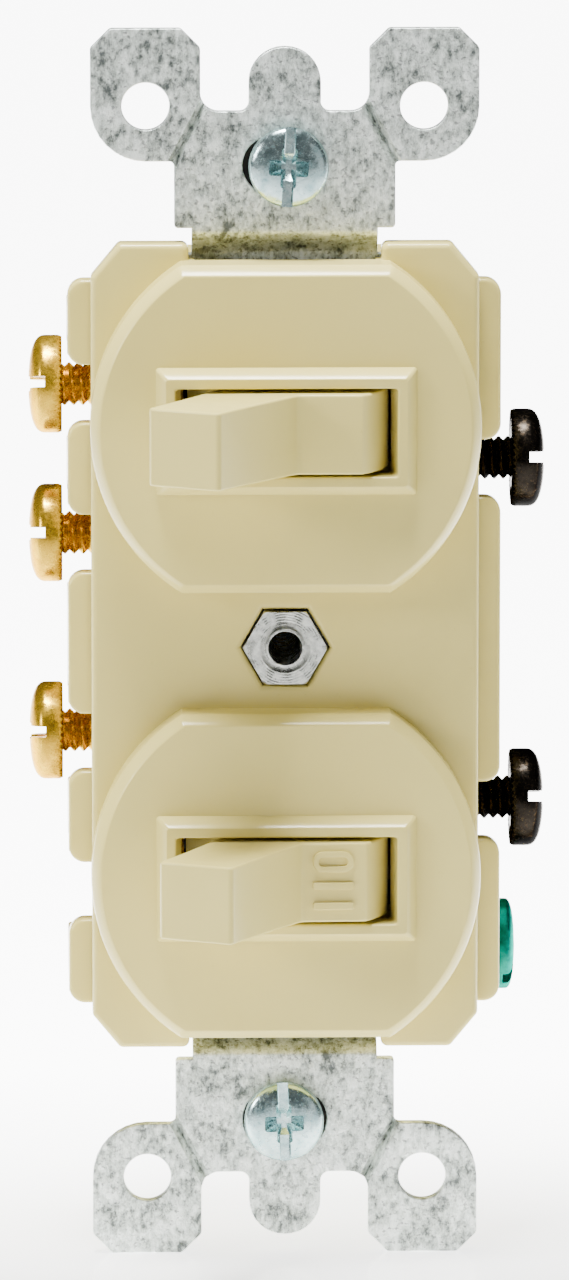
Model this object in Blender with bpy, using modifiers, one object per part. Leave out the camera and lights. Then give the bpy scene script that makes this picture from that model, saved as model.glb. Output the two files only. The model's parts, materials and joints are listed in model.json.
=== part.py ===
"""Duplex toggle switch: two switches on one steel yoke, built as its separate pieces.

Frame: X to the right, Z up, front towards -Y. The origin is midway between the two mounting
screws, on the plane of the wall (the back of the plaster ears). Metres.
"""

import math

import bmesh
import bpy
from mathutils import Matrix, Vector

MM = 0.001
GAP = 0.3 * MM                    # between pieces that touch
SINK = 0.5 * MM                   # how far joined shapes run into each other
SKIN = 0.01 * MM                  # how far a cutter stands proud of the face it cuts
FAR = 60 * MM                     # past every face, for cutters that run through

# Yoke (mounting strap)
STEEL = 1.2 * MM                  # sheet thickness
YOKE_FRONT = -STEEL               # front face; the back face lies on the wall plane y = 0
EAR_TIP_Z = 53.5 * MM
EAR_INNER_X = 7.25 * MM
EAR_CHAMFER = 1.7 * MM
EAR_HOLE = Vector((11.95 * MM, 0, 46.8 * MM))
EAR_HOLE_R = 2.05 * MM
EAR_CORNER_R = 4.75 * MM
SCORE_REACH = 0.8                 # half a score's length, as a share of the ear neck's width
PLATE_HALF = 9.5 * MM
PLATE_IN_Z = 36.3 * MM
PLATE_OUT_Z = 46.35 * MM
TAB_HALF = 3.1 * MM
TAB_TIP_Z = 51.9 * MM
MOUNT_Z = 41.67 * MM              # mounting screws stand 83.34 mm (3-9/32 in) apart
SLOT_LENGTH = 7.3 * MM
SLOT_HEIGHT = 5.0 * MM
NECK_HALF = 8.0 * MM
JOGGLE = 1.6 * MM                 # the middle of the strap steps back by this
STRAP_END_Z = 33.9 * MM
BEND_IN_Z = 34.0 * MM             # the neck slopes between these two lines
BEND_OUT_Z = 36.1 * MM
STRAP_HALF = 14.2 * MM
WINDOW_HALF_X = 9.6 * MM
WINDOW_HALF_Z = 6.2 * MM
SCORE_WIDTH = 0.6 * MM
SCORE_DEPTH = 0.35 * MM
GROUND_TAB_X = 16.2 * MM
GROUND_TAB_Z = (-31.4 * MM, -24.4 * MM)
GROUND_TAB_BACK = 11.3 * MM

# Cover
TOGGLE_Z = 19.45 * MM             # each switch's centre, above and below the middle
COVER_HALF_X = 16.7 * MM
COVER_HALF_Z = 35.1 * MM
COVER_CHAMFER_X = 2.4 * MM
COVER_CHAMFER_Z = 2.9 * MM
COVER_NOTCH_HALF = 8.3 * MM
COVER_NOTCH = 1.5 * MM
NECK_RELIEF_HALF = 7.8 * MM       # behind each notch the cover's rim is cut away for the neck
NECK_RELIEF_FRONT = -1.4 * MM
COVER_FRONT = -2.4 * MM
COVER_BACK = 0.1 * MM
COVER_WALL = 1.8 * MM
COVER_PLATE = 2.0 * MM            # thickness of the flat part
COVER_BOSS_R = 2.4 * MM
DISC_R = 16.8 * MM
DISC_HALF_Z = 14.2 * MM
DISC_FRONT = -6.7 * MM
DISC_EDGE = 0.65 * MM
FRAME_X = 22.4 * MM
FRAME_Z = 11.0 * MM
FRAME_FRONT = -8.1 * MM
FRAME_BEVEL = 0.9 * MM
OPENING_X = 19.0 * MM
OPENING_Z = 7.6 * MM
OPENING_DRAFT = 0.5 * MM
HEX_CORNERS = 7.7 * MM
HEX_GAP = 0.2 * MM

# Base
CORE_HALF_X = 14.3 * MM
CORE_HALF_Z = 31.9 * MM
CORE_FRONT = 1.9 * MM
CORE_BACK = 24.0 * MM
CORE_WALL = 1.8 * MM
WING_X = 18.7 * MM
WING_FRONT = 0.4 * MM
WING_BACK = 2.6 * MM
WING_LIP_X = 16.5 * MM
RIB_BACK = 17.5 * MM              # the rib behind each wing, which parts the terminals
RIB_DROP = 3.3 * MM               # its top and bottom, in from the wing's
RIB_RISE = 0.6 * MM
WING_R = 1.4 * MM
WING_END_Z = 31.65 * MM
LEFT_GAPS = (21.75 * MM, 8.7 * MM, -8.7 * MM, -21.75 * MM)
RIGHT_GAPS = (15.15 * MM, -14.8 * MM)
GAP_HALF = 2.5 * MM
COLUMN_R = 2.2 * MM
FLOOR_RIB = (6.0 * MM, 7.4 * MM)
FLOOR_RIB_FRONT = 16.3 * MM
BARRIER_HALF = 3.0 * MM
SCREW_RECESS_R = 4.9 * MM
GROUND_RECESS_R = 4.4 * MM
SCREW_HOLE_R = 2.2 * MM
SCREW_HOLE_DEPTH = 4.0 * MM       # past the wall's inner face
TERMINAL_SLOT_BACK = 16.4 * MM
CROSS_RIB = (3.9 * MM, 5.7 * MM)  # cradle ribs, measured from the switch's centre
CRADLE_HALF = 3.2 * MM
CRADLE_BACK = 14.4 * MM

# Rivets, from just behind the cover's face to the counterbores in the back
RIVET_X = 8.6 * MM
RIVET_Z = 28.9 * MM
RIVET_R = 1.2 * MM
RIVET_BORE_R = 1.5 * MM
RIVET_HOLE_R = 1.6 * MM
RIVET_FRONT = -1.2 * MM
RIVET_HEAD_R = 2.0 * MM
RIVET_HEAD_BACK = 23.8 * MM
RIVET_HEAD_FRONT = 22.9 * MM
RIVET_TUBE = (0.7 * MM, 3.0 * MM)  # radius and depth of the hollow end
COUNTERBORE = 1.2 * MM

# Toggles and what they drive
PIVOT_Y = -3.0 * MM
UPPER_LEAN = 31.0                 # degrees from straight out, to the left, at rest
LOWER_LEAN = 27.5
DRUM_R = 8.9 * MM
DRUM_HALF_Z = 3.45 * MM
SHOULDER = 6.0 * MM               # distance of each flat shoulder from the pivot
SHOULDER_TILT = 30.0
SKIRT_END = 112.0                 # degrees round the drum, from the lever's axis
LEVER_TIP = 17.5 * MM
LEVER_TIP_HALF = 3.5 * MM
LEVER_ROOT_HALF = 3.9 * MM
TRUNNION_R = 1.55 * MM
TRUNNION_END = 5.4 * MM
BARREL_HALF = 3.0 * MM
BARREL_END = 7.5 * MM
BARREL_TAPER = 1.0 * MM
BORE_R = 2.1 * MM
BORE_TOP = 4.0 * MM               # depth of the spring bore past the pivot, into the lever
NOSE_REACH = 10.4 * MM            # plunger tip, from the pivot
NOSE_R = 1.2 * MM
PLUNGER_R = 1.8 * MM
PLUNGER_NECK = (7.4 * MM, 8.0 * MM)  # the plunger narrows to its nose between these
SPRING_SEAT = 4.2 * MM
SPRING_PIN = (0.9 * MM, 2.0 * MM)    # the pin inside the spring: radius, and nearest point to the pivot
SPRING_COIL_R = 1.5 * MM
SPRING_WIRE_R = 0.22 * MM
SPRING_TURNS = 5
ROCKER_Y = 11.2 * MM
ROCKER_TILT = 8.0
DISH_OVERRUN = 2.0                # degrees that the dish runs past the toggle's limits
ROCKER_HALF_Z = 2.2 * MM
ROCKER_ARM = 8.5 * MM
ROCKER_ARM_HALF = 0.6 * MM
ROCKER_LIP = 0.8 * MM
ROCKER_PIN_END = 3.9 * MM
ROCKER_PIN_R = 0.9 * MM
CONTACT_X = 7.0 * MM
CONTACT_R = 1.5 * MM
CONTACT_THICK = 0.8 * MM
CONTACT_SEAT = 0.02 * MM          # between a button and what carries it
CONTACT_OPEN = 0.25 * MM          # between two closed buttons
STRIP_FRONT = 14.96 * MM
STRIP_THICK = 1.0 * MM
STRIP_PAD = (4.8 * MM, 8.8 * MM)   # inner and outer edge of the pad that carries a contact
STRIP_PAD_REACH = 1.9 * MM        # how far that pad runs past its button's centre
STRIP_SPINE = 2.0 * MM            # half the width of the strip under a rocker's ears
ROCKER_EAR = (2.6 * MM, 3.5 * MM)
ROCKER_EAR_HALF = 1.9 * MM

# Terminals and screws
SCREW_Y = 7.3 * MM
SCREW_R = 1.7 * MM
PLATE_IN_X = 14.6 * MM
PLATE_OUT_X = 15.6 * MM
PLATE_FRONT = 3.3 * MM
TERMINAL_HALF_Z = 3.9 * MM
HEAD_R = 4.25 * MM
HEAD_THICK = 2.9 * MM
HEAD_DOME = 0.7 * MM
HEAD_EDGE = 0.6 * MM              # rounding of a head's outer edge
HEAD_RIM = 0.3 * MM               # chamfer of its underside
SCREW_POINT = 0.5 * MM            # chamfer of the shank's end
SLOT_FLOOR = 0.45                 # height of the driving slot's floor, as a share of the head's
SCREW_LENGTH = 6.4 * MM
BRASS_HEAD_X = 19.2 * MM
BLACK_HEAD_X = 19.9 * MM
GREEN_HEAD_X = 17.9 * MM
GREEN_HEAD_R = 3.95 * MM
GREEN_HEAD_THICK = 2.4 * MM
GREEN_HEAD_DOME = 0.5 * MM
GREEN_LENGTH = 4.9 * MM
GREEN_Z = -27.8 * MM
MOUNT_HEAD_R = 3.45 * MM
MOUNT_HEAD_THICK = 2.0 * MM
MOUNT_HEAD_DOME = 0.6 * MM
MOUNT_LENGTH = 19.0 * MM
DRIVE_SLOT = 1.1 * MM
WASHER_R = 4.2 * MM
WASHER_THICK = 0.8 * MM
POST_FRONT = -2.6 * MM
POST_FLANGE = 2.3 * MM
POST_END = 14.0 * MM
POST_R = 1.7 * MM
POST_BORE_R = 1.38 * MM

ACROSS = Matrix.Rotation(math.radians(90), 4, "X")     # local z becomes -y, local y becomes z
SIDEWAYS = Matrix.Rotation(math.radians(90), 4, "Y")   # local z becomes x

COLOURS = {
    "ivory": ((0.64, 0.55, 0.35), 0.35, 0.0),
    "steel": ((0.55, 0.58, 0.57), 0.35, 1.0),
    "brass": ((0.72, 0.50, 0.20), 0.3, 1.0),
    "black_oxide": ((0.02, 0.02, 0.02), 0.4, 1.0),
    "green": ((0.01, 0.30, 0.19), 0.3, 1.0),
    "phenolic": ((0.03, 0.02, 0.015), 0.5, 0.0),
    "fibre": ((0.03, 0.028, 0.025), 0.8, 0.0),
    "silver": ((0.8, 0.8, 0.78), 0.25, 1.0),
    "spring_steel": ((0.35, 0.35, 0.36), 0.3, 1.0),
}


def new_collection(name):
    made = bpy.data.collections.new(name)
    bpy.context.scene.collection.children.link(made)
    return made


for leftover in list(bpy.data.objects):
    bpy.data.objects.remove(leftover, do_unlink=True)
PARTS = new_collection("duplex_toggle_switch")
CUTTERS = new_collection("cutters")


def material(name):
    found = bpy.data.materials.get(name)
    if found:
        return found
    colour, roughness, metallic = COLOURS[name]
    made = bpy.data.materials.new(name)
    made.use_nodes = True
    shader = made.node_tree.nodes["Principled BSDF"]
    shader.inputs["Base Color"].default_value = (*colour, 1)
    shader.inputs["Roughness"].default_value = roughness
    shader.inputs["Metallic"].default_value = metallic
    return made


def add(name, mesh, finish=None, matrix=None):
    """Places a mesh as a part with a finish, or as a hidden cutter without one."""
    made = bpy.data.objects.new(name, mesh)
    if matrix:
        made.matrix_world = matrix
    if finish:
        PARTS.objects.link(made)
        mesh.materials.append(material(finish))
        mesh.shade_smooth()
        mesh.set_sharp_from_angle(angle=math.radians(35))
    else:
        CUTTERS.objects.link(made)
        made.hide_render = True
        made.display_type = "WIRE"
    return made


def parent_keeping_place(child, parent):
    bpy.context.view_layer.update()
    child.parent = parent
    child.matrix_parent_inverse = parent.matrix_world.inverted()


def boolean(target, tool, operation="DIFFERENCE"):
    modifier = target.modifiers.new(tool.name, "BOOLEAN")
    modifier.operation = operation
    modifier.object = tool
    modifier.solver = "EXACT"


def prism_mesh(points, thickness):
    """A flat outline pushed through a thickness, half to each side of local z = 0."""
    shape = bmesh.new()
    corners = [shape.verts.new((u, v, -thickness / 2)) for u, v in points]
    face = shape.faces.new(corners)
    pushed = bmesh.ops.extrude_face_region(shape, geom=[face])
    moved = [item for item in pushed["geom"] if isinstance(item, bmesh.types.BMVert)]
    bmesh.ops.translate(shape, verts=moved, vec=(0, 0, thickness))
    bmesh.ops.recalc_face_normals(shape, faces=shape.faces)
    mesh = bpy.data.meshes.new("outline")
    shape.to_mesh(mesh)
    shape.free()
    return mesh


def sheet(name, outline, y_front, y_back, finish=None):
    """An outline in x and z, standing between two depths."""
    place = Matrix.Translation((0, (y_front + y_back) / 2, 0)) @ ACROSS
    return add(name, prism_mesh(outline, y_back - y_front), finish, place)


def box(name, low, high, finish=None):
    shape = bmesh.new()
    size = [b - a for a, b in zip(low, high)]
    centre = [(a + b) / 2 for a, b in zip(low, high)]
    matrix = Matrix.Translation(centre) @ Matrix.Diagonal((*size, 1))
    bmesh.ops.create_cube(shape, size=1, matrix=matrix)
    mesh = bpy.data.meshes.new(name)
    shape.to_mesh(mesh)
    shape.free()
    return add(name, mesh, finish)


def rod(name, radius, start, end, axis, centre, finish=None, sides=32, radius_end=None):
    """A cylinder or cone along one axis, from one coordinate to another."""
    turn = {"X": SIDEWAYS, "Y": ACROSS.inverted(), "Z": Matrix()}[axis]
    middle = Vector(centre)
    middle["XYZ".index(axis)] = (start + end) / 2
    shape = bmesh.new()
    far = radius if radius_end is None else radius_end
    bmesh.ops.create_cone(
        shape, cap_ends=True, segments=sides, radius1=radius, radius2=far,
        depth=end - start, matrix=Matrix.Translation(middle) @ turn,
    )
    mesh = bpy.data.meshes.new(name)
    shape.to_mesh(mesh)
    shape.free()
    return add(name, mesh, finish)


def turned(name, profile, finish, matrix, steps=32):
    """A profile of (radius, height), outer side from top to bottom, turned about local z."""
    mesh = bpy.data.meshes.new(name)
    verts = [(r, 0, h) for r, h in profile]
    edges = [(i, i + 1) for i in range(len(verts) - 1)]
    mesh.from_pydata(verts, edges, [])
    made = add(name, mesh, finish, matrix)
    screw = made.modifiers.new("turn", "SCREW")
    screw.steps = steps
    screw.render_steps = steps
    screw.use_merge_vertices = True
    screw.merge_threshold = 1e-6
    screw.use_smooth_shade = True
    return made


def arc(centre, radius, start, end, steps):
    """Points on an arc, from one angle to another, in degrees."""
    angles = (math.radians(start + (end - start) * i / steps) for i in range(steps + 1))
    return [(centre[0] + radius * math.cos(a), centre[1] + radius * math.sin(a)) for a in angles]


def rectangle(x0, z0, x1, z1):
    return [(x0, z0), (x1, z0), (x1, z1), (x0, z1)]


def stadium(centre, length, height, steps=10):
    reach = (length - height) / 2
    x, z = centre
    right = arc((x + reach, z), height / 2, -90, 90, steps)
    left = arc((x - reach, z), height / 2, 90, 270, steps)
    return right + left


def yoke_outline():
    """The strap's outline, anticlockwise from its lower right, before the joggle is bent."""
    upper = [(STRAP_HALF, STRAP_END_Z), (NECK_HALF, STRAP_END_Z)]
    upper += [(NECK_HALF, PLATE_IN_Z), (PLATE_HALF, PLATE_IN_Z)]
    upper += [(PLATE_HALF, EAR_HOLE.z - EAR_CORNER_R)]
    upper += arc((EAR_HOLE.x, EAR_HOLE.z), EAR_CORNER_R, -90, 0, 8)
    ear_outer = EAR_HOLE.x + EAR_CORNER_R
    upper += [(ear_outer, EAR_TIP_Z - EAR_CHAMFER), (ear_outer - EAR_CHAMFER, EAR_TIP_Z)]
    upper += [(EAR_INNER_X + EAR_CHAMFER, EAR_TIP_Z), (EAR_INNER_X, EAR_TIP_Z - EAR_CHAMFER)]
    upper += [(EAR_INNER_X, PLATE_OUT_Z), (TAB_HALF, PLATE_OUT_Z)]
    upper += arc((0, TAB_TIP_Z - TAB_HALF), TAB_HALF, 0, 90, 8)
    quarter_left = [(-x, z) for x, z in reversed(upper[:-1])]
    top = upper + quarter_left
    bottom = [(-x, -z) for x, z in top]
    low, high = GROUND_TAB_Z
    tab = [(STRAP_HALF, low), (GROUND_TAB_X, low), (GROUND_TAB_X, high), (STRAP_HALF, high)]
    return top + bottom + tab


def make_yoke():
    yoke = sheet("yoke", yoke_outline(), YOKE_FRONT, 0, "steel")
    yoke.data.transform(yoke.matrix_world)
    yoke.matrix_world = Matrix()
    shape = bmesh.new()
    shape.from_mesh(yoke.data)
    for z in (BEND_OUT_Z, BEND_IN_Z, -BEND_IN_Z, -BEND_OUT_Z):
        everything = shape.verts[:] + shape.edges[:] + shape.faces[:]
        bmesh.ops.bisect_plane(
            shape, geom=everything, dist=1e-7, plane_co=(0, 0, z), plane_no=(0, 0, 1)
        )
    for vert in shape.verts:
        if abs(vert.co.z) < BEND_IN_Z + 1e-6:
            vert.co.y += JOGGLE
    shape.to_mesh(yoke.data)
    shape.free()
    low, high = GROUND_TAB_Z
    boolean(yoke, box("ground_tab", (GROUND_TAB_X - STEEL, JOGGLE + YOKE_FRONT, low),
                      (GROUND_TAB_X, GROUND_TAB_BACK, high)), "UNION")
    boolean(yoke, rod("ground_tab_bore", SCREW_R + GAP, STRAP_HALF - STEEL, FAR, "X",
                      (0, SCREW_Y, GREEN_Z), sides=24))
    through = (-FAR, FAR)
    boolean(yoke, rod("post_hole", POST_R + GAP, *through, "Y", (0, 0, 0), sides=24))
    for side in (1, -1):
        slot = stadium((0, side * MOUNT_Z), SLOT_LENGTH, SLOT_HEIGHT)
        boolean(yoke, sheet(f"mounting_slot_{side}", slot, *through))
        centre = side * TOGGLE_Z
        boolean(yoke, box(f"window_{side}", (-WINDOW_HALF_X, through[0], centre - WINDOW_HALF_Z),
                          (WINDOW_HALF_X, through[1], centre + WINDOW_HALF_Z)))
        for sx in (1, -1):
            boolean(yoke, rod(f"rivet_hole_{sx}_{side}", RIVET_HOLE_R, *through, "Y",
                              (sx * RIVET_X, 0, side * RIVET_Z), sides=16))
            boolean(yoke, rod(f"ear_hole_{sx}_{side}", EAR_HOLE_R, *through, "Y",
                              (sx * EAR_HOLE.x, 0, side * EAR_HOLE.z), sides=24))
            make_scores(yoke, sx, side)


def make_scores(yoke, sx, sz):
    """Score lines across an ear's neck, on both faces, where it breaks off."""
    start = Vector((EAR_INNER_X, 0, PLATE_OUT_Z))
    end = Vector((PLATE_HALF, 0, EAR_HOLE.z - EAR_CORNER_R))
    along = end - start
    middle = (start + end) / 2
    spot = Vector((sx * middle.x, 0, sz * middle.z))
    turn = Matrix.Rotation(math.atan2(along.x, along.z) * sx * sz, 4, "Y")
    reach = SCORE_REACH * along.length
    for face, y in (("front", YOKE_FRONT), ("back", 0)):
        score = box(f"score_{face}_{sx}_{sz}", (-SCORE_WIDTH / 2, -SCORE_DEPTH, -reach),
                    (SCORE_WIDTH / 2, SCORE_DEPTH, reach))
        score.matrix_world = Matrix.Translation(spot + Vector((0, y, 0))) @ turn
        boolean(yoke, score)


def disc_outline(radius, half_height, centre_z):
    """A circle cut off flat above and below."""
    edge = math.degrees(math.asin(half_height / radius))
    right = arc((0, centre_z), radius, -edge, edge, 20)
    left = arc((0, centre_z), radius, 180 - edge, 180 + edge, 20)
    return right + left


def tapered_block(name, size_front, size_back, y_front, y_back, centre_z):
    """A block whose front and back faces differ in size."""
    shape = bmesh.new()
    front = Vector((size_front[0] / 2, 0, size_front[1] / 2))
    back = Vector((size_back[0] / 2, 0, size_back[1] / 2))
    bmesh.ops.create_cube(shape, size=2)
    for vert in shape.verts:
        half = front if vert.co.y < 0 else back
        y = y_front if vert.co.y < 0 else y_back
        vert.co = (vert.co.x * half.x, y, centre_z + vert.co.z * half.z)
    mesh = bpy.data.meshes.new(name)
    shape.to_mesh(mesh)
    shape.free()
    return add(name, mesh)


def bevel(target, width, segments=1, angle=50):
    modifier = target.modifiers.new("bevel", "BEVEL")
    modifier.width = width
    modifier.segments = segments
    modifier.limit_method = "ANGLE"
    modifier.angle_limit = math.radians(angle)


def make_cover():
    x, z = COVER_HALF_X, COVER_HALF_Z
    notch = z - COVER_NOTCH
    top = [(x, z - COVER_CHAMFER_Z), (x - COVER_CHAMFER_X, z), (COVER_NOTCH_HALF, z)]
    top += [(COVER_NOTCH_HALF, notch)]
    top += [(-a, b) for a, b in reversed(top)]
    outline = top + [(-a, -b) for a, b in top]
    cover = sheet("cover", outline, COVER_FRONT, COVER_BACK, "ivory")
    wall = COVER_WALL
    recess = rectangle(-x + wall, -notch + wall / 2, x - wall, notch - wall / 2)
    for side, word in ((1, "upper"), (-1, "lower")):
        centre = side * TOGGLE_Z
        disc = sheet(f"{word}_disc", disc_outline(DISC_R, DISC_HALF_Z, centre),
                     DISC_FRONT, COVER_FRONT + SINK)
        bevel(disc, DISC_EDGE)
        boolean(cover, disc, "UNION")
        rim = tapered_block(f"{word}_frame", (FRAME_X - 2 * FRAME_BEVEL, FRAME_Z - 2 * FRAME_BEVEL),
                            (FRAME_X, FRAME_Z), FRAME_FRONT, DISC_FRONT, centre)
        sink = tapered_block(f"{word}_frame_foot", (FRAME_X, FRAME_Z), (FRAME_X, FRAME_Z),
                             DISC_FRONT - SKIN, DISC_FRONT + SINK, centre)
        boolean(cover, rim, "UNION")
        boolean(cover, sink, "UNION")
    boolean(cover, sheet("cover_recess", recess, COVER_FRONT + COVER_PLATE, FAR))
    relief = NECK_RELIEF_HALF
    for side in (1, -1):
        low, high = sorted((side * (notch - wall), side * FAR))
        boolean(cover, box(f"neck_relief_{side}", (-relief, NECK_RELIEF_FRONT, low),
                           (relief, FAR, high)))
    for side, word in ((1, "upper"), (-1, "lower")):
        centre = side * TOGGLE_Z
        hollow = disc_outline(DISC_R - wall, DISC_HALF_Z - wall, centre)
        boolean(cover, sheet(f"{word}_hollow", hollow, DISC_FRONT + wall, FAR))
        draft = OPENING_DRAFT * 2
        opening = tapered_block(f"{word}_opening", (OPENING_X, OPENING_Z),
                                (OPENING_X - draft, OPENING_Z), FRAME_FRONT - SKIN,
                                DISC_FRONT + wall + SKIN, centre)
        boolean(cover, opening)
    hexagon = arc((0, 0), HEX_CORNERS / 2, 0, 300, 5)
    boolean(cover, sheet("hex_pocket", hexagon, -FAR, FAR))
    for sx in (1, -1):
        for sz in (1, -1):
            at = (sx * RIVET_X, 0, sz * RIVET_Z)
            boolean(cover, rod(f"cover_boss_{sx}_{sz}", COVER_BOSS_R, DISC_FRONT + wall / 2,
                               COVER_BACK, "Y", at, sides=24), "UNION")
            boolean(cover, rod(f"cover_rivet_bore_{sx}_{sz}", RIVET_BORE_R, RIVET_FRONT - GAP,
                               FAR, "Y", at, sides=16))


def wing_outline(side, low, high):
    """A wing of the base seen from the front, its outer corners rounded."""
    corner = WING_X - WING_R
    points = [(CORE_HALF_X - SINK, low)]
    points += arc((corner, low + WING_R), WING_R, -90, 0, 5)
    points += arc((corner, high - WING_R), WING_R, 0, 90, 5)
    points += [(CORE_HALF_X - SINK, high)]
    return [(side * x, z) for x, z in points]


def make_base():
    inner_x = CORE_HALF_X - CORE_WALL
    inner_z = CORE_HALF_Z - CORE_WALL
    floor = CORE_BACK - CORE_WALL
    base = box("base", (-CORE_HALF_X, CORE_FRONT, -CORE_HALF_Z),
               (CORE_HALF_X, CORE_BACK, CORE_HALF_Z), "ivory")
    boolean(base, box("base_cavity", (-inner_x, -FAR, -inner_z), (inner_x, floor, inner_z)))
    for side, gaps in ((-1, LEFT_GAPS), (1, RIGHT_GAPS)):
        tops = [WING_END_Z] + [g - GAP_HALF for g in gaps]
        bottoms = [g + GAP_HALF for g in gaps] + [-WING_END_Z]
        for number, (high, low) in enumerate(zip(tops, bottoms)):
            wing = sheet(f"wing_{side}_{number}", wing_outline(side, low, high),
                         WING_FRONT, WING_BACK)
            boolean(base, wing, "UNION")
            near, far = sorted((side * (CORE_HALF_X - SINK), side * WING_X))
            boolean(base, box(f"rib_{side}_{number}", (near, WING_BACK - SINK, low + RIB_RISE),
                              (far, RIB_BACK, high - RIB_DROP)), "UNION")
    boolean(base, box("strap_space", (-WING_LIP_X, -FAR, -FAR), (WING_LIP_X, CORE_FRONT, FAR)))
    in_x, in_z = inner_x + SINK, inner_z + SINK
    inside = CORE_FRONT + GAP
    for sign, word in ((1, "upper"), (-1, "lower")):
        for toward in (1, -1):
            near, far = (sign * TOGGLE_Z + toward * edge for edge in CROSS_RIB)
            low, high = min(near, far), max(near, far)
            name = f"{word}_cradle_{toward}"
            boolean(base, box(name, (-in_x, inside, low), (in_x, CRADLE_BACK, high)), "UNION")
            boolean(base, box(name + "_post", (-CRADLE_HALF, PIVOT_Y, low),
                              (CRADLE_HALF, inside + SINK, high)), "UNION")
        reach = CROSS_RIB[1] + SINK
        boolean(base, rod(f"{word}_cradle_notch", TRUNNION_R + GAP, sign * TOGGLE_Z - reach,
                          sign * TOGGLE_Z + reach, "Z", (0, PIVOT_Y, 0), sides=24))
    boolean(base, box("barrier", (-in_x, inside, -BARRIER_HALF),
                      (in_x, floor + SINK, BARRIER_HALF)), "UNION")
    for sx in (1, -1):
        low, high = sorted(sx * edge for edge in FLOOR_RIB)
        boolean(base, box(f"floor_rib_{sx}", (low, FLOOR_RIB_FRONT, -in_z),
                          (high, floor + SINK, in_z)), "UNION")
        for sz in (1, -1):
            at = (sx * RIVET_X, 0, sz * RIVET_Z)
            boolean(base, rod(f"column_{sx}_{sz}", COLUMN_R, inside, floor + SINK, "Y", at,
                              sides=24), "UNION")
            boolean(base, rod(f"column_bore_{sx}_{sz}", RIVET_BORE_R, 0, FAR, "Y", at, sides=16))
            boolean(base, rod(f"counterbore_{sx}_{sz}", RIVET_HEAD_R + GAP,
                              CORE_BACK - COUNTERBORE, FAR, "Y", at, sides=24))
    boolean(base, rod("post_bore", POST_R + GAP, 0, POST_END + 2 * GAP, "Y", (0, 0, 0), sides=24))
    for side, gaps in ((-1, LEFT_GAPS), (1, RIGHT_GAPS)):
        for gap in gaps:
            name = f"terminal_{side}_{round(gap / MM)}"
            span = sorted((side * CORE_HALF_X, side * FAR))
            boolean(base, rod(name + "_recess", SCREW_RECESS_R, *span, "X", (0, SCREW_Y, gap),
                              sides=32))
            slot = sorted((side * CORE_HALF_X, side * (PLATE_OUT_X + GAP)))
            boolean(base, box(name + "_slot", (slot[0], -FAR, gap - TERMINAL_HALF_Z - GAP),
                              (slot[1], TERMINAL_SLOT_BACK, gap + TERMINAL_HALF_Z + GAP)))
            hole = sorted((side * (inner_x - SCREW_HOLE_DEPTH), side * (CORE_HALF_X + SINK)))
            boolean(base, rod(name + "_hole", SCREW_HOLE_R, *hole, "X", (0, SCREW_Y, gap),
                              sides=20))
    for name, side, low, high, _ in strip_entries():
        span = sorted((side * (inner_x - SINK), side * (CORE_HALF_X + SINK)))
        boolean(base, box(name + "_entry", (span[0], STRIP_FRONT - GAP, low - GAP),
                          (span[1], STRIP_FRONT + STRIP_THICK + GAP, high + GAP)))
    low, high = GROUND_TAB_Z
    boolean(base, box("ground_tab_slot", (GROUND_TAB_X - STEEL - GAP, -FAR, low - GAP),
                      (GROUND_TAB_X + GAP, GROUND_TAB_BACK + GAP, high + GAP)))
    boolean(base, rod("ground_recess", GROUND_RECESS_R, GROUND_TAB_X, FAR, "X",
                      (0, SCREW_Y, GREEN_Z), sides=32))
    boolean(base, rod("ground_hole", SCREW_HOLE_R, inner_x - 2 * SINK, GROUND_TAB_X, "X",
                      (0, SCREW_Y, GREEN_Z), sides=20))


def strip_entries():
    """Each terminal: name, side, the low and high edge of its strip at the wall, screw height."""
    left, right = LEFT_GAPS, RIGHT_GAPS
    return [
        ("upper_traveller_terminal_a", -1, 6.7 * MM, 10.7 * MM, left[1]),
        ("upper_traveller_terminal_b", -1, 23.9 * MM, 25.6 * MM, left[0]),
        ("upper_common_terminal", 1, 11.6 * MM, 14.6 * MM, right[0]),
        ("lower_line_terminal", -1, -10.7 * MM, -6.7 * MM, left[2]),
        ("lower_common_terminal", 1, -14.6 * MM, -11.6 * MM, right[1]),
    ]


def strip_outline(name, side, low, high):
    """The strip behind the rocker, seen from the front, from the side plate to its contact."""
    wall = side * (PLATE_OUT_X - SINK / 2)
    pad_in, pad_out = STRIP_PAD
    if name.endswith("common_terminal"):
        sign = 1 if low > 0 else -1
        far = sign * (TOGGLE_Z + ROCKER_EAR[1] + SINK / 10)
        inner, outer = (low, high) if sign > 0 else (high, low)
        spine = STRIP_SPINE
        return [(wall, inner), (-spine, inner), (-spine, far), (spine, far), (spine, outer),
                (wall, outer)]
    if name.endswith("_b"):
        foot = TOGGLE_Z - STRIP_PAD_REACH
        return [(wall, low), (pad_in, low), (pad_in, foot), (pad_out, foot), (pad_out, high),
                (wall, high)]
    sign = 1 if low > 0 else -1
    far = sign * (TOGGLE_Z + STRIP_PAD_REACH)
    inner, outer = (low, high) if sign > 0 else (high, low)
    return [(wall, inner), (-pad_in, inner), (-pad_in, far), (-pad_out, far), (-pad_out, outer),
            (wall, outer)]


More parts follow.
